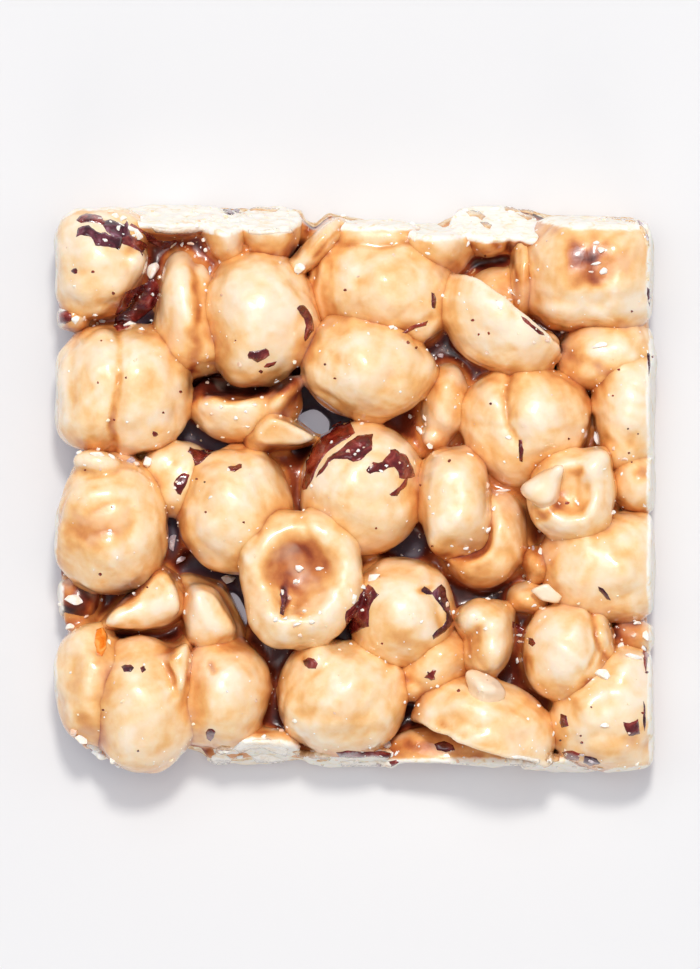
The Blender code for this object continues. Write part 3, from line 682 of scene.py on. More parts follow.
def rim(x, y):
    """Signed distance in plan to the caramel's outline: positive outside."""
    pts = [(gx(a), gy(b)) for a, b in RIM]
    best = np.full(np.broadcast(x, y).shape, 1e9)
    within = np.zeros(best.shape, bool)
    for (ax, ay), (bx, by) in zip(pts, pts[1:] + pts[:1]):
        dx, dy = bx - ax, by - ay
        t = np.clip(((x - ax) * dx + (y - ay) * dy) / (dx * dx + dy * dy), 0, 1)
        best = np.minimum(best, np.hypot(x - ax - t * dx, y - ay - t * dy))
        if ay != by:
            cross = ((ay > y) != (by > y)) & (x < ax + (y - ay) * dx / dy)
            within = within ^ cross
    return np.where(within, -best, best)


def blob(x, y, cx, cy, rx, ry, turn=0.0):
    """1 in the middle of an oval patch in plan, falling to 0 round it."""
    t = math.radians(turn)
    u, v = x - gx(cx), y - gy(cy)
    u, v = (u * math.cos(t) + v * math.sin(t)) / (rx * STEP), \
        (v * math.cos(t) - u * math.sin(t)) / (ry * STEP)
    return np.exp(-(u * u + v * v) ** 1.5 * 0.7)


def level(x, y):
    """The caramel's height in plan."""
    top = LEVEL + 0.5 * waves(x, y, 0, 31, 8.0) + 0.12 * waves(x, y, 0, 32, 3.2)
    weight = np.ones_like(top)
    total = top.copy()
    for cx, cy, rx, ry, h in POOLS:
        w = 14.0 * blob(x, y, cx, cy, rx * 1.25, ry * 1.25)
        total += w * (h + 0.08 * waves(x, y, 0, 33, 2.4))
        weight += w
    return total / weight


def caramel_field(x, y, z, near, second):
    """The set caramel: the fill between the nuts, its menisci, and the
    fillets where two nuts nearly touch."""
    top = level(x, y)
    k = 0.45 * (1.0 - step01(z - top, 0.5, 3.0)) + 1e-3
    h = np.maximum(k - np.abs(second - near), 0.0) / k
    joined = near - h * h * k * 0.25 + FILM
    joined = np.maximum(joined, z - top - 3.2)
    d = smin(joined, z - top, 1.6)
    for cx, cy, rx, ry, turn in HOLES:
        a = oval(x, y, 0.0 * z, cx, cy, rx, ry, turn, 1.0, -1.0)
        d = smax(d, -a - 0.12 * waves(x, y, z, 36, 2.0), 0.5)
    base = 0.18 + 0.10 * waves(x, y, 0, 34, 6.0) + 0.05 * waves(x, y, 0, 35, 1.8)
    d = smax(d, np.maximum(base, 0.0) - z, 0.45)
    px = x / STEP + MIDX
    slope = np.interp(px, [320, 345, 452, 464, 535, 550],
                      [0.24, 0.13, 0.13, 0.42, 0.42, 0.13])
    lean = np.maximum(y - far_side(x) + slope * (z - 1.0),
                      near_side(x) - y + 0.16 * (z - 1.0))
    edge = rim(x, y) + 0.14 * waves(x, y, z, 71, 5.0) \
        + 0.07 * waves(x, y, z, 72, 1.8)
    d = smax(d, np.maximum(edge, lean + 0.3), 0.6)
    return d + 0.006 * waves(x, y, z, 37, 1.2)

# ------------------------------------------------ where the colour deepens, largely as painted shade
# Patches where the glaze is darker (or, below zero, paler) than its place
# would make it: some are its own colour, many are painted shade on lower
# edges, under overhangs and in the gaps, and a few pale ones are painted
# highlights: x, y, rx, ry, turn, how much, on which pieces (by name)
TINTS_AND_SHADE = [
    # a deeper tone over nut_west, nut_e3 and nut_s2, and painted shade on the lower parts of nut_centre and
    # nut_n1
    (365, 515, 46, 22, 0, .07, "nut_centre"),
    (105, 545, 44, 30, 0, .05, "nut_west"),
    (605, 572, 42, 28, 0, .05, "nut_e3"),
    (340, 700, 46, 34, 0, .05, "nut_s2"),
    (240, 345, 36, 16, 0, .04, "nut_n1"),
    # darker caramel in the gaps: its own deeper colour, with painted shade down in them
    (412, 720, 14, 26, 0, .22, "caramel"),
    (446, 346, 20, 14, 0, .12, "caramel"),
    # painted shade on edge_s3 where half_s overhangs it
    (440, 748, 60, 12, 4, .34, "edge_s3"),
    (408, 742, 16, 16, 0, .10, "edge_s3"),
    (490, 758, 30, 6, 4, .16, "edge_s3"),
    (492, 262, 26, 15, 0, .40, "caramel"),
    (218, 257, 16, 20, 0, .12, "caramel"),
    (502, 480, 24, 14, 0, .12, "caramel"),
    (195, 242, 24, 8, 0, .22, "caramel"),
    (152, 262, 12, 34, 10, .26, "caramel"),
    # painted shadow in the gap under nut_n1's lower edge
    (240, 388, 46, 12, 0, .30, "caramel"),
    (298, 262, 8, 12, 0, .30, "caramel"),
    (430, 738, 34, 12, 0, .22, "caramel"),
    (497, 592, 38, 10, 0, .28, "caramel"),
    (116, 640, 14, 10, 0, .26, "caramel"),
    (165, 590, 30, 12, 0, .26, "caramel"),
    (180, 636, 12, 12, 0, .24, "caramel"),
    (207, 650, 12, 12, 0, .20, "caramel"),
    (172, 500, 6, 40, 0, .26, "caramel"),
    (582, 758, 24, 10, 10, .30, "caramel"),
    (524, 632, 9, 18, 0, .20, "caramel"),
    (282, 720, 10, 20, 0, .16, "caramel"),
    (456, 366, 24, 16, 0, .14, "caramel"),
    (432, 553, 30, 7, 10, .22, "half_c"),
    (456, 561, 6, 5, 0, .50, "half_c"),
    (481, 470, 10, 30, -20, .10, "half_c"),
    (460, 545, 22, 40, 20, .30, "crescent_c"),
    (475, 520, 12, 30, 0, .20, "crescent_c"),
    (366, 548, 40, 8, 4, .16, "nut_centre"),
    (416, 500, 8, 40, 0, .10, "nut_centre"),
    (238, 648, 16, 9, 0, .24, "nut_s1"),
    (217, 667, 5, 7, 20, .45, "nut_s1"),
    (196, 640, 8, 10, 0, .30, "nut_s1"),
    (202, 700, 8, 40, 0, .12, "nut_s1"),
    (302, 655, 8, 7, 0, .20, "nut_s2"),
    (345, 722, 46, 10, -6, .07, "nut_s2"),
    (400, 645, 30, 14, 0, .08, "nut_s3"),
    (426, 588, 7, 5, 20, .40, "nut_s3"),
    (410, 640, 24, 8, -20, .12, "nut_s3"),
    (440, 664, 26, 12, 34, .10, "nut_s3_low"),
    (270, 252, 30, 8, 0, .22, "edge_n3"),
    (292, 242, 5, 22, 0, .22, "edge_n3"),
    (493, 247, 36, 8, 2, .26, "edge_n4"),
    (528, 244, 16, 22, 0, .14, "edge_n4"),
    (320, 252, 8, 24, 44, .16, "sliver_n"),
    (322, 240, 26, 4, 48, .10, "sliver_n"),
    (440, 258, 34, 8, -33, .14, "nut_n3"),
    (456, 262, 14, 12, 0, .16, "nut_n3"),
    (498, 298, 30, 30, 0, .24, "nut_n_low"),
    (498, 306, 3, 8, 0, .40, "nut_n_low"),
    (521, 290, 9, 26, 0, .30, "wall_n"),
    (522, 262, 9, 24, 0, .10, "wall_n"),
    (570, 350, 14, 26, 10, .22, "nut_e_low"),
    (600, 366, 34, 6, -30, .16, "nut_e_low"),
    (630, 350, 6, 5, -14, .62, "nut_e1"),
    (640, 346, 12, 4, 0, .24, "nut_e1"),
    (600, 380, 6, 30, 16, .18, "nut_e1"),
    (600, 440, 8, 14, 0, .14, "nut_e1"),
    (600, 640, 5, 26, 14, .18, "nut_s5"),
    (530, 662, 5, 8, 0, .34, "nut_s5"),
    (566, 694, 30, 7, -10, .12, "nut_s5"),
    (588, 684, 10, 6, 0, .30, "nut_s5"),
    (628, 636, 20, 16, 0, .36, "bit_se"),
    (616, 630, 9, 8, 0, .16, "bit_se"),
    (572, 700, 22, 6, -24, .20, "nut_corner_se"),
    (600, 750, 34, 8, 14, .20, "nut_corner_se"),
    (560, 735, 8, 18, -20, .20, "nut_corner_se"),
    (640, 740, 10, 30, 0, .05, "nut_corner_se"),
    (484, 656, 12, 12, 0, .20, "peanut_s"),
    (474, 640, 7, 14, 0, .18, "peanut_s"),
    (488, 637, 10, 4, 0, .10, "peanut_s"),
    (181, 470, 16, 16, 0, -.06, "nut_w_low"),
    (165, 480, 8, 22, -24, .20, "nut_w_low"),
    (262, 446, 24, 6, -4, .22, "shard_inner"),
    (246, 436, 12, 12, 0, .22, "shard_inner"),
    (444, 404, 14, 30, 0, .14, "nut_c_low"),
    (446, 440, 14, 10, 0, .16, "nut_c_low"),
    (536, 566, 12, 18, 0, .34, "bit_e"),
    (528, 602, 22, 12, 0, .30, "nut_e_low2"),
    (195, 325, 6, 50, 0, .30, "lobe_n"),
    (192, 275, 6, 24, 10, .14, "lobe_n"),
    (200, 365, 24, 8, -10, .12, "lobe_n"),
    (187, 352, 10, 20, 0, .08, "lobe_n"),
    (255, 374, 24, 7, 0, .12, "nut_n1"),
    (300, 330, 5, 30, -6, .08, "nut_n1"),
    (222, 338, 7, 34, 6, .10, "nut_n1"),
    (352, 410, 50, 7, 0, .12, "nut_centre_n"),
    (310, 350, 10, 14, 0, .10, "nut_centre_n"),
    (240, 560, 20, 8, 20, .14, "nut_w2"),
    (283, 470, 7, 26, 0, .12, "nut_w2"),
    (188, 540, 8, 20, 0, .12, "nut_w2"),
    (64, 317, 10, 8, 0, .70, "bit_w"),
    (78, 320, 7, 7, 0, -.20, "bit_w"),
    (84, 722, 13, 17, -10, 0.16, "nut_sw_low"),
    (104, 668, 7, 26, 0, 0.14, "nut_sw_low"),
    (56, 690, 10, 40, 0, -0.08, "nut_sw_low"),
    (170, 654, 5, 6, 20, 0.22, "nut_sw"),
    (176, 676, 8, 26, 10, 0.1, "nut_sw"),
    (100, 742, 12, 20, 20, 0.14, "nut_sw"),
    (520, 352, 34, 9, 14, 0.1, "half_ne"),
    (455, 312, 8, 30, -10, 0.1, "half_ne"),
    (500, 318, 40, 26, -36, -0.08, "half_ne"),
    (642, 474, 10, 9, 0, 0.3, "nut_e1_tail"),
    (630, 509, 18, 5, -6, 0.26, "nut_e1_tail"),
    (513, 400, 4, 36, 0, 0.12, "nut_e2"),
    (580, 440, 10, 20, 22, 0.12, "nut_e2"),
    (600, 606, 44, 7, 2, 0.12, "nut_e3"),
    (550, 556, 10, 22, 0, 0.16, "nut_e3"),
    (612, 612, 18, 6, 10, 0.14, "nut_e3"),
    (412, 324, 20, 5, 20, 0.14, "nut_n2"),
    (329, 290, 4, 34, 0, 0.16, "nut_n2"),
    (352, 245, 16, 5, 34, 0.14, "nut_n2"),
    (102, 308, 40, 6, 0, 0.1, "nut_corner_nw"),
    (70, 256, 9, 40, 0, -0.06, "nut_corner_nw"),
    (132, 250, 12, 8, 20, 0.16, "nut_corner_nw"),
    (132, 306, 12, 20, -30, 0.6, "nut_corner_nw"),
    (100, 280, 30, 20, 0, 0.05, "nut_corner_nw"),
    (92, 526, 42, 24, 4, 0.22, "nut_west"),
    (66, 540, 14, 36, 0, 0.08, "nut_west"),
    (120, 510, 30, 40, 0, 0.06, "nut_west"),
    # painted shade on wedge_w's upper-left side under nut_west and on its front slope, and a paler painted
    # highlight along its crest
    (131, 592, 34, 9, 37, 0.42, "wedge_w"),
    (135, 625, 34, 5, 4, 0.14, "wedge_w"),
    (142, 608, 32, 7, 8, -0.1, "wedge_w"),
    (166, 582, 10, 16, 0, 0.06, "wedge_w"),
    # a paler painted highlight along wedge_w2's ridge, and painted shade on the facet that turns away to the
    # right
    (202, 602, 4, 16, 30, -0.2, "wedge_w2"),
    (222, 606, 10, 22, 22, 0.18, "wedge_w2"),
    (205, 642, 24, 6, 0, 0.08, "wedge_w2"),
    (180, 236, 36, 7, 2, 0.22, "edge_n1"),
    (216, 250, 14, 14, 0, 0.22, "edge_n2"),
    (234, 236, 9, 26, -8, -0.16, "edge_n2"),
    (545, 486, 30, 20, 0, -0.08, "flap_e"),
    (530, 500, 12, 8, 0, 0.1, "flap_e"),
    # painted shade on cup_e's floor under the edge of flap_e
    (550, 511, 24, 6, 12, 0.4, "cup_e"),
    (577, 472, 9, 6, -30, 0.24, "cup_e"),
    (563, 494, 6, 8, 0, 0.3, "cup_e"),
    # painted highlight on cup_e's lit right wall
    (596, 480, 14, 40, 0, -0.12, "cup_e"),
    (560, 530, 30, 9, 0, -0.1, "cup_e"),
    (578, 492, 3, 22, 0, 0.1, "cup_e"),
    # painted shadow in cup_inner's hollow, under nut_n1's edge
    (240, 381, 56, 14, 3, 0.62, "cup_inner"),
    (196, 384, 14, 12, 0, 0.4, "cup_inner"),
    (285, 384, 16, 12, 0, 0.4, "cup_inner"),
    (240, 396, 46, 8, 3, 0.14, "cup_inner"),
    (292, 406, 14, 9, 30, 0.24, "cup_inner"),
    (228, 418, 44, 12, 0, -0.06, "cup_inner"),
    (72, 612, 18, 9, 0, 0.5, "edge_w"),
    (84, 596, 11, 11, 0, 0.5, "edge_w"),
    (62, 600, 9, 18, 0, 0.35, "edge_w"),
    (78, 600, 26, 26, 0, 0.22, "edge_w"),
    (436, 728, 34, 5, 14, 0.12, "half_s"),
    (455, 694, 20, 6, 34, 0.08, "half_s"),
    (492, 704, 22, 4, -8, 0.08, "half_s"),
    (113, 416, 3, 26, 0, 0.12, "nut_split_w"),
    (158, 436, 22, 12, -30, 0.14, "nut_split_w"),
    (62, 392, 9, 52, 0, -0.14, "nut_split_w"),
    (76, 440, 18, 10, -30, 0.06, "nut_split_w"),
    (300, 566, 36, 32, 0, 0.34, "cup_centre"),
    (300, 548, 24, 9, 0, 0.16, "cup_centre"),
    (278, 570, 9, 20, 0, 0.14, "cup_centre"),
    (324, 578, 10, 20, 0, 0.12, "cup_centre"),
    (300, 570, 12, 8, 0, -0.08, "cup_centre"),
    (293, 601, 22, 15, 0, 0.14, "cup_centre"),
    (284, 600, 4, 14, 0, 0.3, "cup_centre"),
    (586, 263, 33, 26, 0, 0.25, "nut_corner_ne"),
    (600, 262, 22, 22, 0, 0.08, "nut_corner_ne"),
    (586, 264, 15, 10, 0, 0.1, "nut_corner_ne"),
    (573, 258, 11, 12, 0, 0.26, "nut_corner_ne"),
    (586, 252, 10, 7, 0, 0.2, "nut_corner_ne"),
    (595, 259, 9, 4, 0, 0.16, "nut_corner_ne"),
    (590, 277, 14, 6, 0, 0.16, "nut_corner_ne"),
    (580, 283, 20, 5, 0, 0.12, "nut_corner_ne"),
    (580, 329, 40, 5, 0, 0.14, "nut_corner_ne"),
    (600, 307, 54, 13, 0, -0.2, "nut_corner_ne"),
    (562, 300, 10, 20, 20, 0.08, "nut_corner_ne"),
    (489, 686, 30, 24, 0, -0.13, "bit_s"),
    (546, 592, 24, 18, 0, -0.1, "chip_e"),
]

# ------------------------------------------------- papery skins, as outlines
# kind: 0 maroon, 1 purple-black, 2 red-brown
SKINS = [
    (1, [(646, 288), (649, 290), (649.5, 300), (649, 307), (647, 301)]),
    (1, [(647, 352), (649.5, 355), (649.5, 367), (648, 377), (647, 364)]),
    (2, [(643, 645), (646, 647), (647, 660), (645, 673), (643, 662)]),
    (1, [(642, 700), (644, 704), (645, 718), (644, 731), (642, 716)]),
    # dark plates along slits and a fold on nut_n2 and nut_e2: painted shade in the creases
    (0, [(431,293),(434,294),(436,300),(435,309),(432,309),(431,302)]),
    (2, [(402,333),(410,327),(420,324),(428,321),(426,326),(415,329),(406,334)]),
    (0, [(518,440),(521,440),(523,450),(522,462),(519,461),(518,450)]),
    (1, [(597,586),(602,588),(607,594),(610,600),(606,599),(602,594),(598,590)]),
    (3, [(97, 629), (104, 627), (108, 636), (107, 648), (103, 656), (98, 654), (95, 642)]),
    (0, [(77,221),(80,217),(87,214),(95,215),(102,217),(104,221),(110,223),(104,226),(95,223),(88,223),(82,224)]),
    (1, [(79,229),(84,227),(90,226),(93,229),(97,232),(102,234),(106,233),(110,236),(118,238),(124,237),(123,243),(122,247),(120,251),(116,249),(110,248),(102,247),(97,247),(95,243),(92,238),(88,237),(82,236),(77,238),(78,234)]),
    (1, [(104,222),(111,220),(120,224),(125,225),(128,221),(130,229),(131,236),(126,240),(123,237),(118,239),(112,236),(107,232),(104,227)]),
    (0, [(122,240),(125,236),(131,235),(138,240),(145,243),(148,246),(144,252),(143,257),(140,252),(134,249),(127,246),(122,244)]),
    (0, [(129,228),(132,224),(140,229),(150,234),(157,240),(164,241),(176,240),(180,243),(172,247),(163,249),(156,246),(148,242),(145,235),(138,231)]),
    (2, [(137,291),(131,290),(126,293),(122,299),(119,307),(115,315),(115,324),(121,327),(127,322),(134,312),(140,304),(140,296)]),
    (0, [(56,312),(66,311),(72,314),(72,321),(66,324),(58,323),(55,318)]),
    (0, [(248,356),(250,352),(256,352),(261,351),(266,349),(269,351),(270,356),(266,359),(262,361),(258,363),(253,360),(249,359)]),
    (2, [(264,367),(267,364),(272,363),(277,362),(274,366),(269,368),(265,368)]),
    (0, [(297,309),(300,306),(304,306),(308,310),(312,317),(314,325),(314,331),(311,334),(308,339),(305,342),(304,338),(305,332),(306,326),(304,319),(300,314)]),
    (2, [(302,487),(303,480),(306,470),(306,462),(308,455),(313,448),(318,440),(325,432),(332,426),(340,421),(350,422),(353,428),(355,433),(350,437),(343,441),(337,445),(330,450),(325,455),(321,461),(317,468),(314,476),(310,484),(307,489),(303,490)]),
    (0, [(357,436),(364,435),(373,434),(372,440),(372,450),(367,454),(361,460),(353,462),(347,459),(341,459),(334,459),(329,463),(322,473),(316,478),(319,471),(324,465),(328,458),(333,454),(340,450),(346,444),(352,440)]),
    (0, [(366,470),(369,466),(373,462),(378,463),(382,462),(385,458),(390,453),(390,450),(395,449),(400,453),(406,455),(409,461),(413,468),(415,476),(411,478),(405,479),(399,478),(398,472),(394,467),(388,468),(382,472),(376,472),(370,474),(367,472)]),
    (2, [(404,480),(408,478),(406,486),(400,491),(397,496),(391,496),(389,494),(395,490),(400,486)]),
    (0, [(363,590),(368,584),(373,587),(377,593),(379,594),(374,599),(371,604),(369,610),(369,618),(369,626),(362,628),(356,632),(350,634),(346,628),(345,618),(346,611),(352,606),(358,600),(360,594)]),
    (1, [(421,589),(424,586),(429,589),(432,592),(436,588),(441,584),(445,588),(446,595),(449,603),(450,612),(453,620),(450,626),(444,632),(438,636),(433,639),(432,635),(436,630),(442,626),(446,620),(446,613),(441,606),(436,600),(432,594),(426,594),(421,591)]),
    (2, [(424,677),(428,673),(433,669),(436,670),(434,675),(435,679),(431,680),(428,678)]),
    (0, [(188,452),(190,447),(194,449),(200,450),(207,449),(213,450),(212,453),(206,458),(200,464),(195,466),(194,461),(192,455)]),
    (0, [(174,483),(177,478),(181,474),(185,473),(190,475),(188,481),(184,489),(181,495),(178,494),(175,489)]),
    (2, [(228,467),(231,466),(235,466),(239,464),(242,464),(242,468),(238,470),(235,472),(231,471)]),
    (0, [(560,713),(563,714),(566,715),(568,725),(561,727),(559,722)]),
    (0, [(622,721),(629,722),(634,720),(637,718),(639,733),(632,735),(628,735),(624,728)]),
    (0, [(206,732),(209,728),(213,728),(216,731),(214,737),(211,741),(207,738)]),
    (0, [(303,660),(308,657),(314,658),(318,663),(316,668),(309,668),(305,665)]),
    (2, [(528,637),(532,638),(535,643),(532,646),(528,643)]),
    (0, [(512,621),(518,624),(526,631),(525,635),(518,632),(512,627)]),
    (1, [(122,666),(126,664),(132,664),(135,667),(132,671),(125,671)]),
    (0, [(141,667),(145,665),(147,669),(143,672)]),
    (0, [(520,317),(527,321),(535,328),(542,333),(544,336),(538,335),(530,328),(522,321)]),
    (0, [(388,762),(396,760),(402,764),(398,768),(390,768)]),
    (0, [(434,744),(444,741),(453,745),(455,750),(446,752),(437,750)]),
    (4, [(466,211),(472,209),(480,211),(486,216),(482,220),(476,216),(470,216)]),
    (4, [(480,222),(487,222),(492,225),(490,229),(484,227)]),
    (4, [(505,206),(514,203),(524,204),(535,209),(533,214),(522,211),(512,212),(506,210)]),
    (4, [(518,214),(530,213),(536,217),(528,220)]),
    (4, [(245,206),(258,205),(270,207),(280,208),(276,211),(262,210),(250,210)]),
    (1, [(222,207),(230,204),(240,207),(238,212),(231,215),(224,213)]),
    (4, [(596,214),(606,213),(618,215),(628,217),(636,221),(634,224),(622,221),(608,218),(598,217)]),
    (4, [(638,224),(645,230),(648,238),(648,247),(645,246),(644,238),(639,230)]),
    # a dark plate along the crack in cup_centre's hollow: painted shade in the crack
    (1, [(283,588),(287,590),(287,598),(286,606),(284,615),(280,613),(282,602),(280,594)]),
    (0, [(146,283),(152,276),(158,284),(159,296),(155,306),(147,313),(138,320),(128,328),(118,331),(113,326),(115,314),(121,302),(130,292),(138,287)]),
    (5, [(150,226),(160,229),(176,230),(192,228),(204,226),(206,231),(192,234),(172,235),(156,233)]),
    (5, [(118,222),(128,226),(140,229),(139,233),(128,231),(119,227)]),
    (5, [(248,230),(262,231),(276,229),(292,230),(294,234),(278,234),(260,236),(249,234)]),
    (5, [(211,757),(218,752),(226,755),(232,760),(228,766),(216,766),(209,763)]),
    (5, [(234,748),(244,742),(255,739),(268,738),(280,742),(288,750),(286,757),(276,754),(262,748),(250,749),(240,754)]),
    (5, [(250,756),(262,753),(276,757),(288,761),(284,766),(270,764),(256,764)]),
    (4, [(216,748),(222,745),(231,746),(230,752),(222,755),(215,754)]),
    (4, [(292,752),(306,750),(320,753),(332,756),(330,761),(316,759),(300,758)]),
    (5, [(296,763),(310,764),(324,765),(323,768),(308,768)]),
    (5, [(340,762),(352,760),(366,763),(380,761),(396,763),(394,768),(376,767),(356,768),(342,768)]),
    (0, [(336,752),(348,750),(362,752),(378,751),(392,753),(390,758),(374,757),(356,758),(340,757)]),
    (5, [(430,763),(444,762),(458,764),(470,763),(468,768),(452,768),(436,768)]),
    (5, [(506,757),(516,754),(528,756),(540,759),(538,766),(524,768),(510,765)]),
    (4, [(545,753),(552,751),(560,754),(559,761),(550,763),(544,759)]),
    (2, [(562,752),(572,750),(580,753),(578,760),(566,759)]),
    (1, [(584,755),(596,758),(600,763),(590,766),(583,762)]),
]
# specks of skin: x, y, size across
SPECKS = [
    (94,273,4.5),(114,294,4.5),(150,258,4),(261,372,4.5),(102,341,3),(99,383,3),
    (127,378,3),(181,392,4),(164,413,3),(115,420,3),(156,434,7),(236,341,2.5),
    (345,291,4),(408,343,4),(416,348,3.5),(325,365,3),(335,379,3),(472,321,4),
    (488,334,3.5),(478,335,3),(631,312,3),(618,370,4),(612,396,3),(627,429,2.5),
    (637,434,2.5),(628,453,3),(631,462,2.5),(490,404,3),(568,439,3),(449,461,4),
    (432,546,3),(101,574,4),(197,479,3.5),(205,482,3),(206,512,3),(244,522,3.5),
    (148,587,3),(104,709,3.5),(139,750,3),(581,742,4),(580,735,3),(590,706,3),
    (458,690,4.5),(485,256,3),(382,643,3),(420,485,3.5),(76,272,8),(566,503,6),
    (642,712,4),(646,672,4),(647,655,5),(376,528,3),(428,672,3),(560,740,3),
    (651,298,3),(652,357,3),(113,507,2.5),(86,470,2.5),
]

# --------------------------------------------------- nut crumbs and flakes, and painted glints
# x, y, length, width, turn, kind (0 cream, 1 white, 2 pinkish, 3 grey)
CRUMBS_AND_GLINTS = [
    (119.5,230,9,6,80,1),(106,242,8,5,-35,1),(124,235.5,3.5,3,0,1),(138,236,16,11,-40,1),
    (152,271,20,14,55,1),(153,294,5,5,0,1),(130,325,14,8,12,1),(142,330,7,6,0,1),
    (175,245.5,14,5,20,1),(191,244,8,4,-10,2),(204,240,5,5,0,1),(95,315,8,4,0,1),
    (85,320,4,4,0,2),(102,321,8,4,-10,1),(94,326,4,3,0,1),(76,320,11,12,0,1),
    (76,287,4,4,0,1),(116,217,10,7,20,1),(124,220,9,7,40,1),(112,213,8,5,0,2),
    (294,362,6,6,0,1),(391,328,8,6,0,1),(508,437,7,6,0,1),(504,462,4,4,0,1),
    (612,512,7,5,0,1),(374,578,18,9,5,1),(363,587,8,6,10,1),(354,598,12,7,85,1),
    (364,595,3,3,0,2),(151,461,17,13,40,1),(131,461,10,9,0,3),(136,465,9,8,20,2),
    (86,617,7,6,0,2),(70,627,12,8,10,1),(74,600,20,12,-10,1),(173,543,18,11,85,3),
    (227,579,17,11,0,1),(595,244,7,5,-20,1),(600,251,9,8,0,1),(595,265,13,5,10,1),
    (602,272,9,8,0,1),(590,273,7,3.5,0,2),(604,724,10,6,0,1),(602,675,18,13,-30,1),
    (633,657,22,7,0,1),(637,625,10,9,0,1),(633,636,7,5,0,2),(621,646,8,7,20,1),
    (624,630,4,4,0,2),(617,627,3.5,3,0,1),(614,636,8,4,70,2),(645,636,9,12,0,1),
    (643,648,7,9,0,1),(553,733,8,4,80,1),(582,754,8,5,20,3),(591,760,9,5,-30,3),
    (576,767,8,5,0,1),(586,770,9,4,0,1),(600,768,8,5,0,1),(549,760,8,8,0,1),
    (387,746,14,10,10,1),(281,731,7,5,0,2),(264,737,7,6,0,1),(295,720,6,5,0,1),
    (520,635,8,4,0,1),(519,642,5,4,0,2),(518,661,7,5,80,1),(470,656,5,4,0,2),
    (485,628,5,4,0,1),(439,598,3.5,3.5,0,1),(94,746,24,14,-30,1),(82,738,16,13,0,1),
    (104,755,20,12,20,1),(90,756,13,10,10,1),(74,731,11,8,60,2),(114,760,10,8,0,1),(97,751,15,10,50,1),(87,745,11,8,-10,2),
    (108,762,13,8,0,1),(101,763,9,7,30,3),(80,749,10,8,0,1),(119,765,10,6,0,1),(92,759,12,8,0,1),(110,762,9,6,0,1),(222,750,9,7,10,1),(318,756,7,4,0,1),
    (380,765,8,4,0,3),(388,766,7,4,0,2),(227,750,11,8,0,1),(240,757,8,6,0,1),(437,686,5,5,0,2),
    (446,604,6,7,0,2),(453,612,5,5,0,1),(441,356,8,7,0,3),(437,345,5,4,0,3),
    (425,418,10,5,-40,1),(420,430,12,6,-50,1),(430,445,8,8,0,1),(411,417,8,5,-50,1),
    # the white specks over nut_centre's skins and on nut_w_low are painted glints
    (362,424,6,4,0,2),(332,443,5.5,4.5,20,1),(355,455,5,4,0,1),(358,451,4.5,4,0,1),
    (364,448,3.5,3,0,2),(348,452,5,6,0,2),(386,466,5,3.5,20,1),(381,471,5,3.5,-20,1),
    (371,466,6,5,0,2),(399,463,3.5,3,0,2),(407,466,3,3,0,1),(177,482,3.5,3,0,2),
    (175,488,4,4,0,1),(180,560,12,8,20,3),(512,293,17,4,-20,1),(519,302,7,4,80,1),
    (517,281,5,4,0,1),(540,552,5,12,0,1),(533,549,4,12,0,3),(546,340,9,5,-20,2),
    (494,509,7,4,60,1),(487,530,10,6,70,1),(470,539,5,4,0,2),(501,593,5,4,0,2),
    (503,491,20,4,10,1),(487,485,10,5,80,2),(470,455,9,3,-30,1),(466,548,7,5,0,1),
    (206,250,5,5,0,1),(210,271,12,5,85,3),(220,262,8,3,80,2),(205,285,4,4,0,1),
    # among these, (628, 732), (300, 568) and (296, 582) are painted glints
    (628,732,4,3.5,0,2),(290,598,4,5,0,2),(300,568,11,9,0,1),(320,568,11,5,10,1),
    (296,582,6,7,0,1),(282,592,5,9,0,1),(286,618,8,6,20,1),(298,624,9,6,0,1),
    (312,621,8,6,0,1),(305,611,6,5,0,1),(276,619,6,6,0,1),(320,612,5,5,0,1),
    (268,600,4,4,0,1),(301,634,7,5,0,2),(597,438,15,7,-50,1),(600,346,17,7,12,1),
    (478,204,14,5,0,1),(495,208,12,5,10,1),(512,212,9,5,0,1),(466,210,8,5,0,1),
    (336,211,9,5,0,1),(344,216,8,5,10,1),(330,216,7,4,0,2),(299,268,16,11,30,1),
    (640,224,14,4,-70,3),(646,240,12,4,-80,3),(60,604,7,5,0,1),(62,455,9,6,0,2),
    (68,462,8,5,60,1),(98,455,20,6,4,1),(112,457,12,5,-10,1),(80,453,8,5,0,1),
    # white specks along cup_inner's rim: painted highlights
    (236,418,6,5,0,1),(222,407,5,5,0,1),(207,404,5,4,0,1),(255,405,6,4,0,1),
    (262,398,5,4,0,1),(212,414,4,3,0,2),(246,412,4,4,0,1),
]

# ---------------------------------------------------------- mesh making
def new_mesh(name, points, faces, materials, values=(), smooth=True):
    """An object from points in mm; values are (name, one number a point)."""
    me = bpy.data.meshes.new(name)
    faces = np.asarray(faces)
    n, k = faces.shape
    me.vertices.add(len(points))
    me.vertices.foreach_set("co", (np.asarray(points) * 0.001)
                            .astype(np.float32).ravel())
    me.loops.add(n * k)
    me.loops.foreach_set("vertex_index", faces.astype(np.int32).ravel())
    me.polygons.add(n)
    me.polygons.foreach_set("loop_start", np.arange(0, n * k, k,
                                                    dtype=np.int32))
    me.update(calc_edges=True)
    me.polygons.foreach_set("use_smooth", [smooth] * n)
    for m in materials:
        me.materials.append(m)
    for label, data in values:
        a = me.attributes.new(label, "FLOAT", "POINT")
        a.data.foreach_set("value", np.asarray(data, np.float32))
    me.validate()
    ob = bpy.data.objects.new(name, me)
    bpy.context.scene.collection.objects.link(ob)
    return ob


def piece(ob, slot, *nodes):
    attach(ob, "root")
    if nodes:
        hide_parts(*nodes)
    return ob


# ------------------------------------------------------------ materials
def srgb(r, g, b):
    out = []
    for c in (r, g, b):
        c /= 255.0
        out.append(c / 12.92 if c <= 0.04045 else ((c + 0.055) / 1.055) ** 2.4)
    return (*out, 1.0)


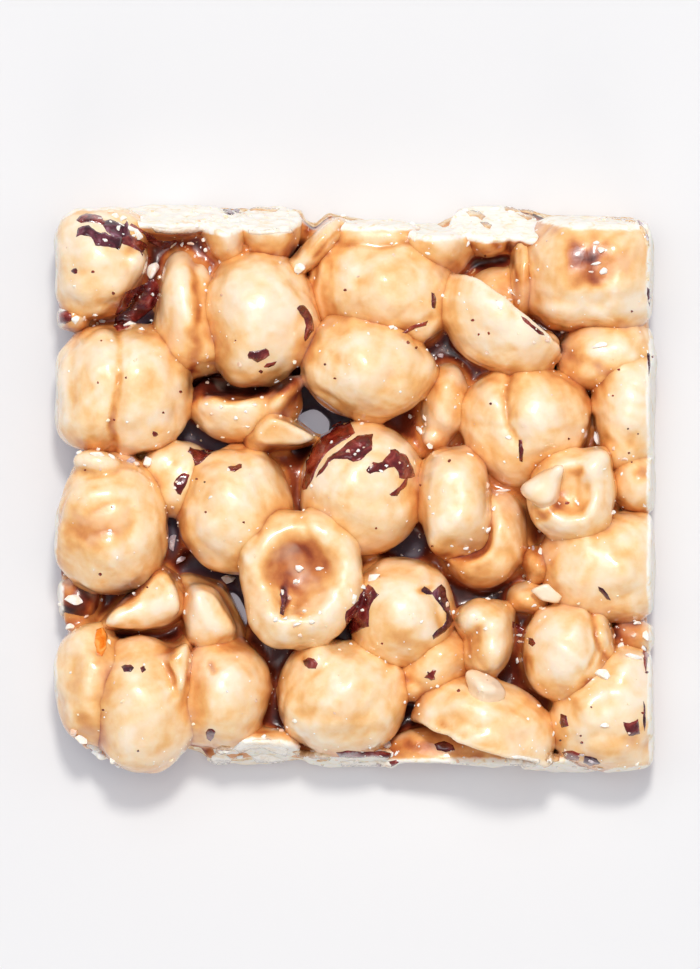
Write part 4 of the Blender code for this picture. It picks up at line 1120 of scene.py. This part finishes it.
class Shader:
    """A Principled material and short names for the nodes it is fed by."""

    def __init__(self, name, base=(0.8, 0.8, 0.8, 1.0), roughness=0.5):
        self.mat = bpy.data.materials.new(name)
        self.mat.use_nodes = True
        self.nt = self.mat.node_tree
        self.bsdf = self.nt.nodes["Principled BSDF"]
        self.set("Base Color", base)
        self.set("Roughness", roughness)
        self.place = self.node("ShaderNodeNewGeometry").outputs["Position"]

    def node(self, kind, **more):
        n = self.nt.nodes.new(kind)
        for k, v in more.items():
            setattr(n, k, v)
        return n

    def set(self, socket, value):
        self.bsdf.inputs[socket].default_value = value

    def link(self, out, socket):
        self.nt.links.new(out, socket if not isinstance(socket, str)
                          else self.bsdf.inputs[socket])

    def read(self, name):
        n = self.node("ShaderNodeAttribute", attribute_name=name)
        return n.outputs["Fac"]

    def noise(self, per_mm, detail=2.0, rough=0.5, warp=0.0, shift=0.0):
        n = self.node("ShaderNodeTexNoise")
        m = self.node("ShaderNodeMapping")
        m.inputs["Location"].default_value = (shift, shift * 0.7, shift * 0.3)
        self.link(self.place, m.inputs["Vector"])
        self.link(m.outputs[0], n.inputs["Vector"])
        n.inputs["Scale"].default_value = per_mm * 1000.0
        n.inputs["Detail"].default_value = detail
        n.inputs["Roughness"].default_value = rough
        n.inputs["Distortion"].default_value = warp
        return n.outputs["Fac"]

    def math(self, op, a, b=0.0, c=0.0, clamp=False):
        n = self.node("ShaderNodeMath", operation=op, use_clamp=clamp)
        for k, v in enumerate((a, b, c)):
            if isinstance(v, (int, float)):
                n.inputs[k].default_value = v
            else:
                self.link(v, n.inputs[k])
        return n.outputs[0]

    def span(self, v, lo, hi, a=0.0, b=1.0):
        n = self.node("ShaderNodeMapRange")
        n.inputs["From Min"].default_value = lo
        n.inputs["From Max"].default_value = hi
        n.inputs["To Min"].default_value = a
        n.inputs["To Max"].default_value = b
        n.interpolation_type = "SMOOTHSTEP"
        self.link(v, n.inputs["Value"])
        return n.outputs["Result"]

    def ramp(self, v, stops):
        n = self.node("ShaderNodeValToRGB")
        e = n.color_ramp.elements
        e[0].position, e[0].color = stops[0]
        e[1].position, e[1].color = stops[-1]
        for pos, col in stops[1:-1]:
            s = e.new(pos)
            s.color = col
        self.link(v, n.inputs["Fac"])
        return n.outputs["Color"]

    def mix(self, fac, a, b, blend="MIX"):
        n = self.node("ShaderNodeMix", data_type="RGBA", blend_type=blend)
        n.clamp_factor = True
        for k, v in ((0, fac), (6, a), (7, b)):
            if isinstance(v, (int, float, tuple)):
                n.inputs[k].default_value = v
            else:
                self.link(v, n.inputs[k])
        return n.outputs[2]

    def bump(self, height, depth_mm, over=None):
        n = self.node("ShaderNodeBump")
        n.inputs["Strength"].default_value = 1.0
        n.inputs["Distance"].default_value = depth_mm * 0.001
        self.link(height, n.inputs["Height"])
        if over is not None:
            self.link(over, n.inputs["Normal"])
        return n.outputs["Normal"]


# from the palest glaze over a nut's crown to the darkest set sugar
SUGAR = [
    (0.00, srgb(252, 230, 203)), (0.16, srgb(249, 212, 163)),
    (0.30, srgb(242, 187, 119)), (0.44, srgb(226, 156, 87)),
    (0.58, srgb(198, 117, 60)), (0.72, srgb(155, 73, 40)),
    (0.86, srgb(102, 38, 24)), (1.00, srgb(58, 21, 17)),
]


def glazed_nut(name, soft):
    s = Shader(name)
    depth, flesh = s.read("depth"), s.read("flesh")
    broad = s.noise(0.20, 2.0, 0.5, 0.5)
    fine = s.noise(0.9, 3.0, 0.55, 0.3, 0.3)
    t = s.math("ADD", depth, s.math("MULTIPLY_ADD", broad, 0.62, -0.305))
    t = s.math("ADD", t, s.math("MULTIPLY_ADD", fine, 0.20, -0.10), clamp=True)
    sugar = s.ramp(t, SUGAR)
    # here and there a rosier, milkier patch
    rosy = s.span(s.noise(0.21, 2.0, 0.5, 0.3, 1.7), 0.52, 0.72, 0.0, 0.34)
    sugar = s.mix(rosy, sugar, srgb(244, 214, 186))
    # white flesh where a nut is cut, tan along its layers
    grain = s.noise(0.75, 4.0, 0.6, 0.8, 3.1)
    white = s.ramp(grain, [(0.26, srgb(238, 206, 160)), (0.38, srgb(248, 232, 206)),
                           (0.48, srgb(251, 243, 231)), (1.0, srgb(252, 248, 242))])
    edge = s.math("ADD", flesh, s.math("MULTIPLY_ADD", fine, 0.7, -0.35))
    open_flesh = s.span(edge, 0.25, 0.75)
    s.link(s.mix(open_flesh, sugar, white), "Base Color")
    s.link(s.math("MULTIPLY_ADD", open_flesh, 0.30,
                  s.span(broad, 0.3, 0.7, 0.30, 0.42)), "Roughness")
    shine = s.span(t, 0.46, 0.70, 1.0, 0.35)
    s.link(s.math("MULTIPLY_ADD", open_flesh, -0.9, shine, clamp=True),
           "Coat Weight")
    s.set("Coat Roughness", 0.13)
    s.set("Coat IOR", 1.5)
    s.set("IOR", 1.48)
    s.set("Subsurface Weight", soft)
    s.set("Subsurface Radius", (1.0, 0.55, 0.28))
    s.set("Subsurface Scale", 0.0011)
    ripples = s.bump(s.noise(0.9, 2.0, 0.5, 0.5, 5.3), 0.060)
    pits = s.bump(s.noise(3.2, 2.0, 0.5, 0.0, 6.1), 0.008, ripples)
    s.link(pits, "Normal")
    return s.mat


def set_caramel():
    s = Shader("set_caramel")
    depth, flesh = s.read("depth"), s.read("flesh")
    broad = s.noise(0.25, 3.0, 0.55, 0.6, 2.0)
    fine = s.noise(1.3, 3.0, 0.6, 0.4, 4.0)
    t = s.math("ADD", depth, s.math("MULTIPLY_ADD", broad, 0.26, -0.13))
    t = s.math("ADD", t, s.math("MULTIPLY_ADD", fine, 0.16, -0.08), clamp=True)
    sugar = s.ramp(t, SUGAR)
    # nut dust caught in it
    dust = s.span(s.noise(1.9, 2.0, 0.5, 0.2, 7.0), 0.66, 0.72)
    dust = s.math("MULTIPLY", dust, s.span(s.noise(0.22, 1.0, 0.5, 0.0, 8.0),
                                           0.45, 0.6))
    sugar = s.mix(s.math("MULTIPLY", dust, 0.7), sugar, srgb(238, 206, 160))
    # painted shadow: dark slate where shaded floor would show through a gap
    sugar = s.mix(s.span(s.read("slate_shadow"), 0.05, 0.55, 0.0, 0.85), sugar,
                  srgb(66, 58, 72))
    white = s.ramp(s.noise(0.9, 4.0, 0.6, 0.8, 9.1),
                   [(0.36, srgb(198, 138, 80)), (0.48, srgb(232, 192, 140)),
                    (0.58, srgb(248, 232, 208)), (1.0, srgb(252, 246, 236))])
    edge = s.math("ADD", flesh, s.math("MULTIPLY_ADD", fine, 0.6, -0.3))
    open_flesh = s.span(edge, 0.45, 0.65)
    s.link(s.mix(open_flesh, sugar, white), "Base Color")
    s.link(s.math("MULTIPLY_ADD", open_flesh, 0.35,
                  s.span(s.read("slate_shadow"), 0.05, 0.6, 0.28, 0.55)), "Roughness")
    dull = s.math("ADD", s.span(depth, 0.50, 0.90, 0.15, 0.80), open_flesh)
    dull = s.math("MULTIPLY_ADD", s.read("slate_shadow"), 0.9, dull)
    s.link(s.math("SUBTRACT", 1.0, dull, clamp=True), "Coat Weight")
    s.set("Coat Roughness", 0.12)
    s.set("Coat IOR", 1.5)
    s.set("IOR", 1.48)
    s.set("Subsurface Weight", 0.12)
    s.set("Subsurface Radius", (1.0, 0.38, 0.12))
    s.set("Subsurface Scale", 0.0012)
    flow = s.bump(s.noise(0.5, 2.0, 0.5, 0.8, 5.0), 0.08)
    pits = s.bump(s.noise(2.6, 1.0, 0.5, 0.0, 6.0), 0.006, flow)
    s.link(pits, "Normal")
    return s.mat


def papery_skin(name, stops, sheen):
    s = Shader(name)
    veins = s.noise(0.55, 4.0, 0.55, 0.8, 1.0)
    s.link(s.ramp(veins, stops), "Base Color")
    s.link(s.span(s.noise(0.5, 2.0), 0.35, 0.65, 0.18, 0.34), "Roughness")
    s.set("Coat Weight", 1.0)
    s.set("Coat Roughness", 0.07)
    s.set("Coat Tint", sheen)
    s.set("IOR", 1.5)
    wrinkles = s.bump(s.noise(0.8, 2.0, 0.5, 1.0, 2.0), 0.13)
    s.link(wrinkles, "Normal")
    return s.mat


def crumb_look(name, low, mid, high, roughness, coat):
    s = Shader(name)
    grain = s.noise(1.4, 4.0, 0.6, 0.5, 3.0)
    s.link(s.ramp(grain, [(0.30, low), (0.48, mid), (0.62, high)]),
           "Base Color")
    s.link(s.span(s.noise(2.0, 2.0), 0.3, 0.7, roughness, roughness + 0.2),
           "Roughness")
    s.set("Coat Weight", coat)
    s.set("Coat Roughness", 0.15)
    s.set("Subsurface Weight", 0.2)
    s.set("Subsurface Radius", (1.0, 0.7, 0.4))
    s.set("Subsurface Scale", 0.0006)
    s.link(s.bump(s.noise(3.0, 3.0, 0.6), 0.05), "Normal")
    return s.mat


NUT = glazed_nut("glazed_nut", 0.22)
BIT = glazed_nut("glazed_bit", 0.0)
CARAMEL = set_caramel()
SKIN_LOOKS = [
    papery_skin("skin_maroon", [(0.30, srgb(64, 12, 12)), (0.48, srgb(102, 24, 22)),
                                (0.60, srgb(140, 54, 44)), (0.74, srgb(186, 122, 112))],
                (1.0, 0.93, 0.97, 1.0)),
    papery_skin("skin_dark", [(0.30, srgb(40, 8, 14)), (0.48, srgb(72, 20, 28)),
                              (0.60, srgb(112, 52, 60)), (0.76, srgb(158, 116, 126))],
                (0.93, 0.90, 1.0, 1.0)),
    papery_skin("skin_red", [(0.28, srgb(66, 12, 8)), (0.46, srgb(112, 26, 16)),
                             (0.60, srgb(146, 52, 34)), (0.78, srgb(190, 100, 66))],
                (1.0, 0.94, 0.92, 1.0)),
    papery_skin("amber_sugar", [(0.30, srgb(212, 84, 10)), (0.48, srgb(230, 112, 20)),
                                (0.62, srgb(240, 140, 44)), (0.78, srgb(246, 180, 96))],
                (1.0, 1.0, 1.0, 1.0)),
    papery_skin("nut_layer", [(0.30, srgb(176, 120, 76)), (0.46, srgb(214, 164, 112)),
                              (0.60, srgb(238, 206, 160)), (0.76, srgb(250, 234, 206))],
                (1.0, 1.0, 1.0, 1.0)),
    papery_skin("nut_flesh", [(0.28, srgb(238, 208, 164)), (0.42, srgb(249, 234, 210)),
                              (0.58, srgb(251, 245, 234)), (0.80, srgb(253, 249, 242))],
                (1.0, 1.0, 1.0, 1.0)),
]
CRUMB_LOOKS = [
    crumb_look("crumb_cream", srgb(238, 200, 150), srgb(250, 228, 190),
               srgb(255, 242, 218), 0.35, 0.4),
    crumb_look("white_crumb_and_glint", srgb(246, 228, 204), srgb(253, 246, 234),
               srgb(255, 253, 248), 0.30, 0.5),
    crumb_look("crumb_rosy", srgb(222, 168, 130), srgb(244, 208, 182),
               srgb(252, 230, 212), 0.30, 0.6),
    crumb_look("crumb_grey", srgb(150, 124, 128), srgb(190, 172, 176),
               srgb(222, 212, 212), 0.22, 0.8),
]

# ------------------------------------------------------------- the nuts
grid = Lattice(CELL)
near = np.full(grid.size, 9.0, np.float32)
second = np.full(grid.size, 9.0, np.float32)
owner = np.full(grid.size, -1, np.int16)
names = list(OVALS)
SMALL = ("bit_s", "flap_e", "chip_e")
fields = {}
for k, name in enumerate(names):
    low, high = reach(name)
    part, start, (x, y, z) = grid.axes(low - LIP, high + LIP)
    d, flesh = form(name, x, y, z)
    d = even(d, CELL)
    side = walls(x, y, z)
    # a nut that the bar's side runs through is sawn there
    d = smax(d, side, 0.35)
    d = smax(d, 0.42 - z, 0.4)
    sawn = (1.0 - step01(np.abs(side), 0.12, 0.8)) * step01(z, 2.0, 4.0)
    sawn = np.broadcast_to(sawn, d.shape)
    flesh = sawn if flesh is None else np.maximum(flesh, sawn)
    fields[name] = (part, start, d.astype(np.float32),
                    flesh.astype(np.float32))
    # the small bits lie on the nuts, and the glaze between the nuts
    # takes no notice of them
    if name in SMALL:
        continue
    a, b = near[part], second[part]
    closer = d < a
    second[part] = np.where(closer, a, np.minimum(b, d))
    near[part] = np.where(closer, d, a)
    owner[part] = np.where(closer, k, owner[part])


def tint_and_shade(name, points):
    total = np.zeros(len(points))
    x, y = points[:, 0], points[:, 1]
    wx = x + 0.35 * waves(x, y, points[:, 2], 91, 2.6)
    wy = y + 0.35 * waves(x, y, points[:, 2], 92, 2.6)
    for cx, cy, rx, ry, turn, much, on in TINTS_AND_SHADE:
        if on == name:
            total += much * blob(wx, wy, cx, cy, rx, ry, turn) \
                * step01(points[:, 2], 3.0, 6.0)
    return total


made = []
hit_points, hit_faces, count = [], [], 0
for k, name in enumerate(names):
    part, start, d, flesh = fields[name]
    others = np.where(owner[part] == k, second[part], near[part])
    # where two nuts meet, the glaze bridges them in a small fillet
    curve = sum(np.gradient(g, grid.cell)[a]
                for a, g in enumerate(np.gradient(d, grid.cell)))
    over = d - others
    d = smin(d, others, 0.5 if name in SMALL else 1.0) \
        + 0.35 * np.maximum(over, 0.0)
    d = smax(d, over * 0.5 - 0.25, 0.05)
    points, faces = nets(d, grid.low + grid.cell * start, grid.cell)
    points = settle_on(grid, d, points, start)
    gap = grid.sample(others, points, start)
    up = grid.sample(np.gradient(d, grid.cell)[2], points, start)
    z = points[:, 2]
    top = max(z.max(), 1.0)
    seed = np.random.default_rng(seed_of(name) + 9)
    # glaze lies thicker in hollows and thinner over ridges, and the hollows are also painted darker as shade
    hollow_glaze_and_shade = np.clip(0.22 - grid.sample(curve, points, start), -0.7, 1.5)
    # darker close to another piece, for the thicker glaze there and as painted shade between the pieces
    seam = 0.31 * np.exp(-np.clip(gap, 0, 9) / 0.32) \
        + 0.13 * np.exp(-np.clip(gap, 0, 9) / 1.7)
    if name in SMALL:
        seam, hollow_glaze_and_shade, up = seam * 0.1, hollow_glaze_and_shade * 0.1, up * 0.2 + 0.8
    # the colour deepens further as painted shade on slopes that turn away from up and low down on each piece
    depth = 0.11 + seed.uniform(-0.045, 0.045) + seam \
        + 0.13 * (1.0 - np.clip(up, 0.0, 1.0)) \
        + 0.17 * (1.0 - step01(z, 3.0, top - 1.5)) \
        + 0.14 * hollow_glaze_and_shade + tint_and_shade(name, points)
    f = grid.sample(flesh, points, start)
    ob = new_mesh("look_" + name, points, faces,
                  [BIT if name in SMALL else NUT],
                  [("depth", np.clip(depth, 0.0, 1.0)), ("flesh", f)])
    piece(ob, "cut_nut" if name.startswith(("edge", "bit_se", "bit_w"))
          else "glazed_nut", name)
    made.append(ob)
    hit_points.append(points)
    hit_faces.append(faces + count)
    count += len(points)
# ---------------------------------------------------------- the caramel
coarse = Lattice(0.435)
part, start, (x, y, z) = coarse.axes(coarse.low, coarse.low + coarse.cell
                                     * (coarse.size - 1))
shape = tuple(coarse.size)
mesh_x = np.broadcast_to(x, shape).ravel()
spots = np.stack([np.broadcast_to(a, shape).ravel() for a in (x, y, z)], 1)
n1 = grid.sample(near, spots).reshape(shape)
n2 = grid.sample(second, spots).reshape(shape)
d = caramel_field(x, y, z, n1, n2)
d = even(d, coarse.cell)
points, faces = nets(d, coarse.low, coarse.cell)
points = settle_on(coarse, d, points, (0, 0, 0))
to_nut = grid.sample(near, points)
x, y, z = points.T
thick = np.clip(to_nut, 0, 3)
# darker where the caramel lies thick, and painted shade low down in the gaps
depth = 0.475 + 0.26 * step01(thick, 0.05, 1.0) + tint_and_shade("caramel", points) \
    + 0.36 * (1.0 - step01(z, 1.5, 7.0)) * step01(thick, -0.1, 0.5)
# crumbly where the bar was cut; low down in the open gaps a painted shadow of dark slate
cut_side = np.maximum(np.maximum(y - far_side(x), near_side(x) - y) + 1.4,
                      x - BAR_X + 1.2)
sawn = (1.0 - step01(-rim(x, y), 0.15, 0.8)) * step01(cut_side, 0.0, 0.5)
slate_shadow = np.zeros(len(points))
for cx, cy, rx, ry, turn in SLATE_SHADOWS:
    slate_shadow = np.maximum(slate_shadow, blob(x, y, cx, cy, rx * 1.1, ry * 1.1, turn))
slate_shadow = slate_shadow * (1.0 - step01(z, 5.5, 8.0)) * step01(thick, -0.1, 0.3)
under = 1.0 - step01(z, 0.5, 1.4)
slate_shadow = slate_shadow * step01(z, 0.9, 1.8)
depth = depth * (1 - under) + under * (0.36 + 0.30 * step01(thick, 0.0, 1.4))
caramel = new_mesh("look_caramel", points, faces, [CARAMEL],
                   [("depth", np.clip(depth, 0, 1)), ("flesh", sawn),
                    ("slate_shadow", slate_shadow)])
piece(caramel, "caramel", "caramel")
hit_points.append(points)
hit_faces.append(faces + count)
surface = BVHTree.FromPolygons(
    np.concatenate(hit_points).tolist(), np.concatenate(hit_faces).tolist())
print("nuts and caramel", sum(len(f) for f in hit_faces), "faces;",
      len(faces), "in the caramel")


def drop(x, y):
    """Where a thing let fall at x, y (mm) lands, and the surface's normal."""
    spot, normal, _, _ = surface.ray_cast(Vector((x, y, 40.0)),
                                          Vector((0, 0, -1)))
    if spot is None:
        return None, None
    return spot, normal if normal.z > 0 else -normal


# ------------------------------------------------------- papery skins
def ragged(outline, rng, rough, closed=True):
    """An outline with its runs broken up by small steps in and out."""
    pts = [np.array(p, float) for p in outline]
    for _ in range(2):
        out = []
        for a, b in zip(pts, pts[1:] + pts[:1]):
            run = b - a
            side = np.array([-run[1], run[0]])
            out += [a, (a + b) * 0.5 + side * rng.uniform(-rough, rough)]
        pts = out
    return pts


def flake(outline, rng, step_mm=0.22, thick=0.07, rough=0.05):
    """A thin closed plate that lies on what is under its outline."""
    edge = ragged(outline, rng, rough)
    edge = np.array([(gx(a), gy(b)) for a, b in edge])
    lo, hi = edge.min(0), edge.max(0)
    xs = np.arange(lo[0], hi[0], step_mm)
    ys = np.arange(lo[1], hi[1], step_mm)
    inner = [(u, v) for i, u in enumerate(xs) for v in ys + (i % 2) * 0.5
             * step_mm if inside(edge, u, v)
             and near_edge(edge, u, v) > 0.45 * step_mm]
    co = [Vector((float(a), float(b))) for a, b in list(edge) + inner]
    n = len(edge)
    got = delaunay_2d_cdt(co, [(i, (i + 1) % n) for i in range(n)],
                          [list(range(n))], 2, 1e-4)
    flat, tris = got[0], [list(f) for f in got[2]]
    top, bottom, keep = [], [], []
    for p in flat:
        spot, normal = drop(p.x, p.y)
        if spot is None:
            spot, normal = Vector((p.x, p.y, -9.0)), Vector((0, 0, 1))
        away = near_edge(edge, p.x, p.y)
        lift = 0.02 + thick * min(1.0, away / 0.25) * (
            1.0 + 0.55 * float(waves(p.x, p.y, 0.0, 55, 1.1)))
        top.append(spot + normal * lift)
        bottom.append(spot - normal * 0.05)
    whole = []
    for t in tris:
        zs = [top[i].z for i in t]
        if max(zs) - min(zs) < 2.0 and min(zs) > 0:
            area = (flat[t[1]] - flat[t[0]]).cross(flat[t[2]] - flat[t[0]])
            whole.append(t if area > 0 else t[::-1])
    return close_plate(top, bottom, whole)


def close_plate(top, bottom, tris):
    """Top, bottom and rim of a plate from its top triangles."""
    used = sorted({i for t in tris for i in t})
    at = {i: k for k, i in enumerate(used)}
    m = len(used)
    points = [top[i] for i in used] + [bottom[i] for i in used]
    faces, rim = [], {}
    for t in tris:
        a, b, c = (at[i] for i in t)
        faces += [(a, b, c), (c + m, b + m, a + m)]
        for e in ((a, b), (b, c), (c, a)):
            rim[e] = True
    for a, b in list(rim):
        if (b, a) not in rim:
            faces += [(b, a, a + m), (b, a + m, b + m)]
    return points, faces


def inside(poly, u, v):
    a, b = poly, np.roll(poly, -1, 0)
    cross = (a[:, 1] > v) != (b[:, 1] > v)
    if not cross.any():
        return False
    a, b = a[cross], b[cross]
    at = a[:, 0] + (v - a[:, 1]) * (b[:, 0] - a[:, 0]) / (b[:, 1] - a[:, 1])
    return bool((at > u).sum() % 2)


def near_edge(poly, u, v):
    a, b = poly, np.roll(poly, -1, 0)
    run = b - a
    t = (((u - a[:, 0]) * run[:, 0] + (v - a[:, 1]) * run[:, 1])
         / np.maximum((run * run).sum(1), 1e-9)).clip(0, 1)
    return float(np.hypot(a[:, 0] + t * run[:, 0] - u,
                          a[:, 1] + t * run[:, 1] - v).min())


def gather(name, lists, materials, slot, smooth=True):
    """One object from (points, triangles, which material) lists, kept
    above what the bar stands on."""
    pts, tris, which, base = [], [], [], 0
    for p, f, m in lists:
        pts += [(q[0], q[1], max(q[2], 0.03)) for q in p]
        tris += [tuple(i + base for i in t) for t in f]
        which += [m] * len(f)
        base += len(p)
    ob = new_mesh(name, np.array(pts), np.array(tris), materials,
                  smooth=smooth)
    ob.data.polygons.foreach_set("material_index", which)
    return piece(ob, slot)


rng = np.random.default_rng(5)
plates = []
for kind, outline in SKINS:
    p, f = flake(outline, rng)
    if f:
        plates.append((p, f, kind))
for cx, cy, size in SPECKS:
    n = 7
    turn = rng.uniform(0, 6.28)
    outline = [(cx + size * 0.5 * rng.uniform(0.6, 1.1)
                * math.cos(turn + 6.283 * i / n),
                cy + size * 0.5 * rng.uniform(0.45, 1.0)
                * math.sin(turn + 6.283 * i / n)) for i in range(n)]
    p, f = flake(outline, rng, step_mm=0.14, thick=0.03, rough=0.05)
    if f:
        plates.append((p, f, 2 if rng.uniform() < 0.6 else 0))
gather("skin_flakes", plates, SKIN_LOOKS, "caramel")
print("skins", sum(len(f) for _, f, _ in plates), "faces")


# ------------------------------------------------------------- crumbs
def chunk(rng, sides=14):
    """A small broken piece: points on a rough ball and their hull."""
    import bmesh
    bm = bmesh.new()
    for _ in range(sides):
        v = rng.normal(size=3)
        v /= np.linalg.norm(v)
        bm.verts.new(Vector(v * rng.uniform(0.82, 1.0)))
    got = bmesh.ops.convex_hull(bm, input=bm.verts)
    drop_verts = [g for g in got["geom_interior"]
                  if isinstance(g, bmesh.types.BMVert)]
    if drop_verts:
        bmesh.ops.delete(bm, geom=drop_verts, context="VERTS")
    bmesh.ops.bevel(bm, geom=bm.edges[:] + bm.verts[:], offset=0.12,
                    segments=1, affect="EDGES", clamp_overlap=True)
    bmesh.ops.triangulate(bm, faces=bm.faces[:])
    bm.verts.index_update()
    out = np.array([v.co[:] for v in bm.verts]), \
        [tuple(v.index for v in f.verts) for f in bm.faces]
    bm.free()
    return out


chunks = [chunk(rng, int(rng.integers(9, 18))) for _ in range(24)]


def crumb(cx, cy, long, wide, turn, rng, height=None, sink=0.35):
    """A chunk let fall at cx, cy (steps), turned with the surface."""
    spot, normal = drop(gx(cx), gy(cy))
    if spot is None:
        return None
    pts, tris = chunks[int(rng.integers(len(chunks)))]
    a, b = long * STEP * 0.5, wide * STEP * 0.5
    c = height if height else min(a, b) * rng.uniform(0.7, 1.0)
    t = math.radians(turn)
    u = pts[:, 0] * a * 1.08
    v = pts[:, 1] * b * 1.08
    w = pts[:, 2] * c
    x_axis = Vector((math.cos(t), math.sin(t), 0))
    n = normal.lerp(Vector((0, 0, 1)), 0.3).normalized()
    x_axis = (x_axis - n * x_axis.dot(n)).normalized()
    y_axis = n.cross(x_axis)
    base = spot + n * c * (1 - 2 * sink)
    return [base + x_axis * i + y_axis * j + n * k
            for i, j, k in zip(u, v, w)], tris


grit_and_glints = []
for cx, cy, long, wide, turn, kind in CRUMBS_AND_GLINTS:
    got = crumb(cx, cy, long, wide, turn, rng)
    if got:
        grit_and_glints.append((*got, kind))
# fine pale grit, partly real crumbs and partly painted glints, thicker along the seams and the far and near sides
tries = 0
while len(grit_and_glints) < 900 and tries < 14000:
    tries += 1
    if tries % 4 == 0:
        cx = rng.uniform(66, 648)
        cy = rng.choice([rng.uniform(206, 222), rng.uniform(746, 770)])
    else:
        cx, cy = rng.uniform(60, 650), rng.uniform(208, 770)
    spot, normal = drop(gx(cx), gy(cy))
    if spot is None or spot.z < 3.0:
        continue
    seam = float(grid.sample(second, np.array([spot[:]]))[0])
    if rng.uniform() > 0.16 + 0.8 * math.exp(-max(seam, 0) / 0.8):
        continue
    size = 1.6 + 3.4 * rng.uniform() ** 3
    got = crumb(cx, cy, size * rng.uniform(1.0, 1.6), size,
                rng.uniform(0, 180), rng, sink=0.5)
    grit_and_glints.append((*got, int(rng.choice([0, 1, 1, 2]))))
gather("crumbs_and_glints", grit_and_glints, CRUMB_LOOKS, "cut_nut", smooth=False)
print("crumbs", len(grit_and_glints), sum(len(g[1]) for g in grit_and_glints), "faces")

# ------------------------------------------------- floor, light, camera
floor_look = Shader("pale_floor", srgb(203, 202, 199), 0.9)
# the floor glows faintly blue, lightening and cooling the shadows cast on it
floor_look.set("Emission Color", srgb(236, 236, 255))
floor_look.set("Emission Strength", 0.20)
floor_look.set("Specular IOR Level", 0.1)
me = bpy.data.meshes.new("floor")
me.from_pydata([(-3, -3, 0), (3, -3, 0), (3, 3, 0), (-3, 3, 0)], [],
               [(0, 1, 2, 3)])
me.materials.append(floor_look.mat)
floor = bpy.data.objects.new("floor", me)
bpy.context.scene.collection.objects.link(floor)


def lamp(name, spot, size, power, colour, mirrored=True,
         towards=(0, 0, 0.008)):
    data = bpy.data.lights.new(name, "AREA")
    data.shape, data.size, data.energy = "DISK", size, power
    data.color = colour
    ob = bpy.data.objects.new(name, data)
    ob.location = spot
    aim = Vector(towards) - Vector(spot)
    ob.rotation_euler = aim.to_track_quat("-Z", "Y").to_euler()
    ob.visible_glossy = mirrored
    bpy.context.scene.collection.objects.link(ob)
    return ob


lamp("key", (0.06, 0.72, 1.56), 0.25, 17.1, (1.0, 0.978, 0.945))
lamp("window", (-0.24, 0.74, 1.75), 1.30, 8.6, (0.975, 0.98, 1.0))
lamp("front", (0.0, 0.04, 1.95), 0.90, 5.2, (1.0, 0.985, 0.97), False)
lamp("west", (-1.25, 0.20, 0.95), 0.90, 2.6, (1.0, 0.98, 0.96), False)
lamp("east", (1.25, 0.20, 0.95), 0.90, 2.2, (1.0, 0.98, 0.96), False)
lamp("fill", (0.20, -1.60, 0.75), 1.20, 7.4, (1.0, 0.94, 0.87), False)
world = bpy.data.worlds.new("studio")
world.use_nodes = True
world.node_tree.nodes["Background"].inputs[0].default_value = \
    (0.78, 0.86, 1.0, 1.0)
world.node_tree.nodes["Background"].inputs[1].default_value = 0.28
bpy.context.scene.world = world
bpy.context.scene.view_settings.view_transform = "Standard"

lens = bpy.data.cameras.new("camera")
lens.sensor_width = 36.0
lens.lens = 36.0 * (1.60 - 0.008) / (969 * STEP * 0.001)
lens.clip_start, lens.clip_end = 0.05, 20.0
camera = bpy.data.objects.new("camera", lens)
camera.location = (gx(350.0) * 0.001, gy(484.5) * 0.001, 1.60)
bpy.context.scene.collection.objects.link(camera)
bpy.context.scene.camera = camera
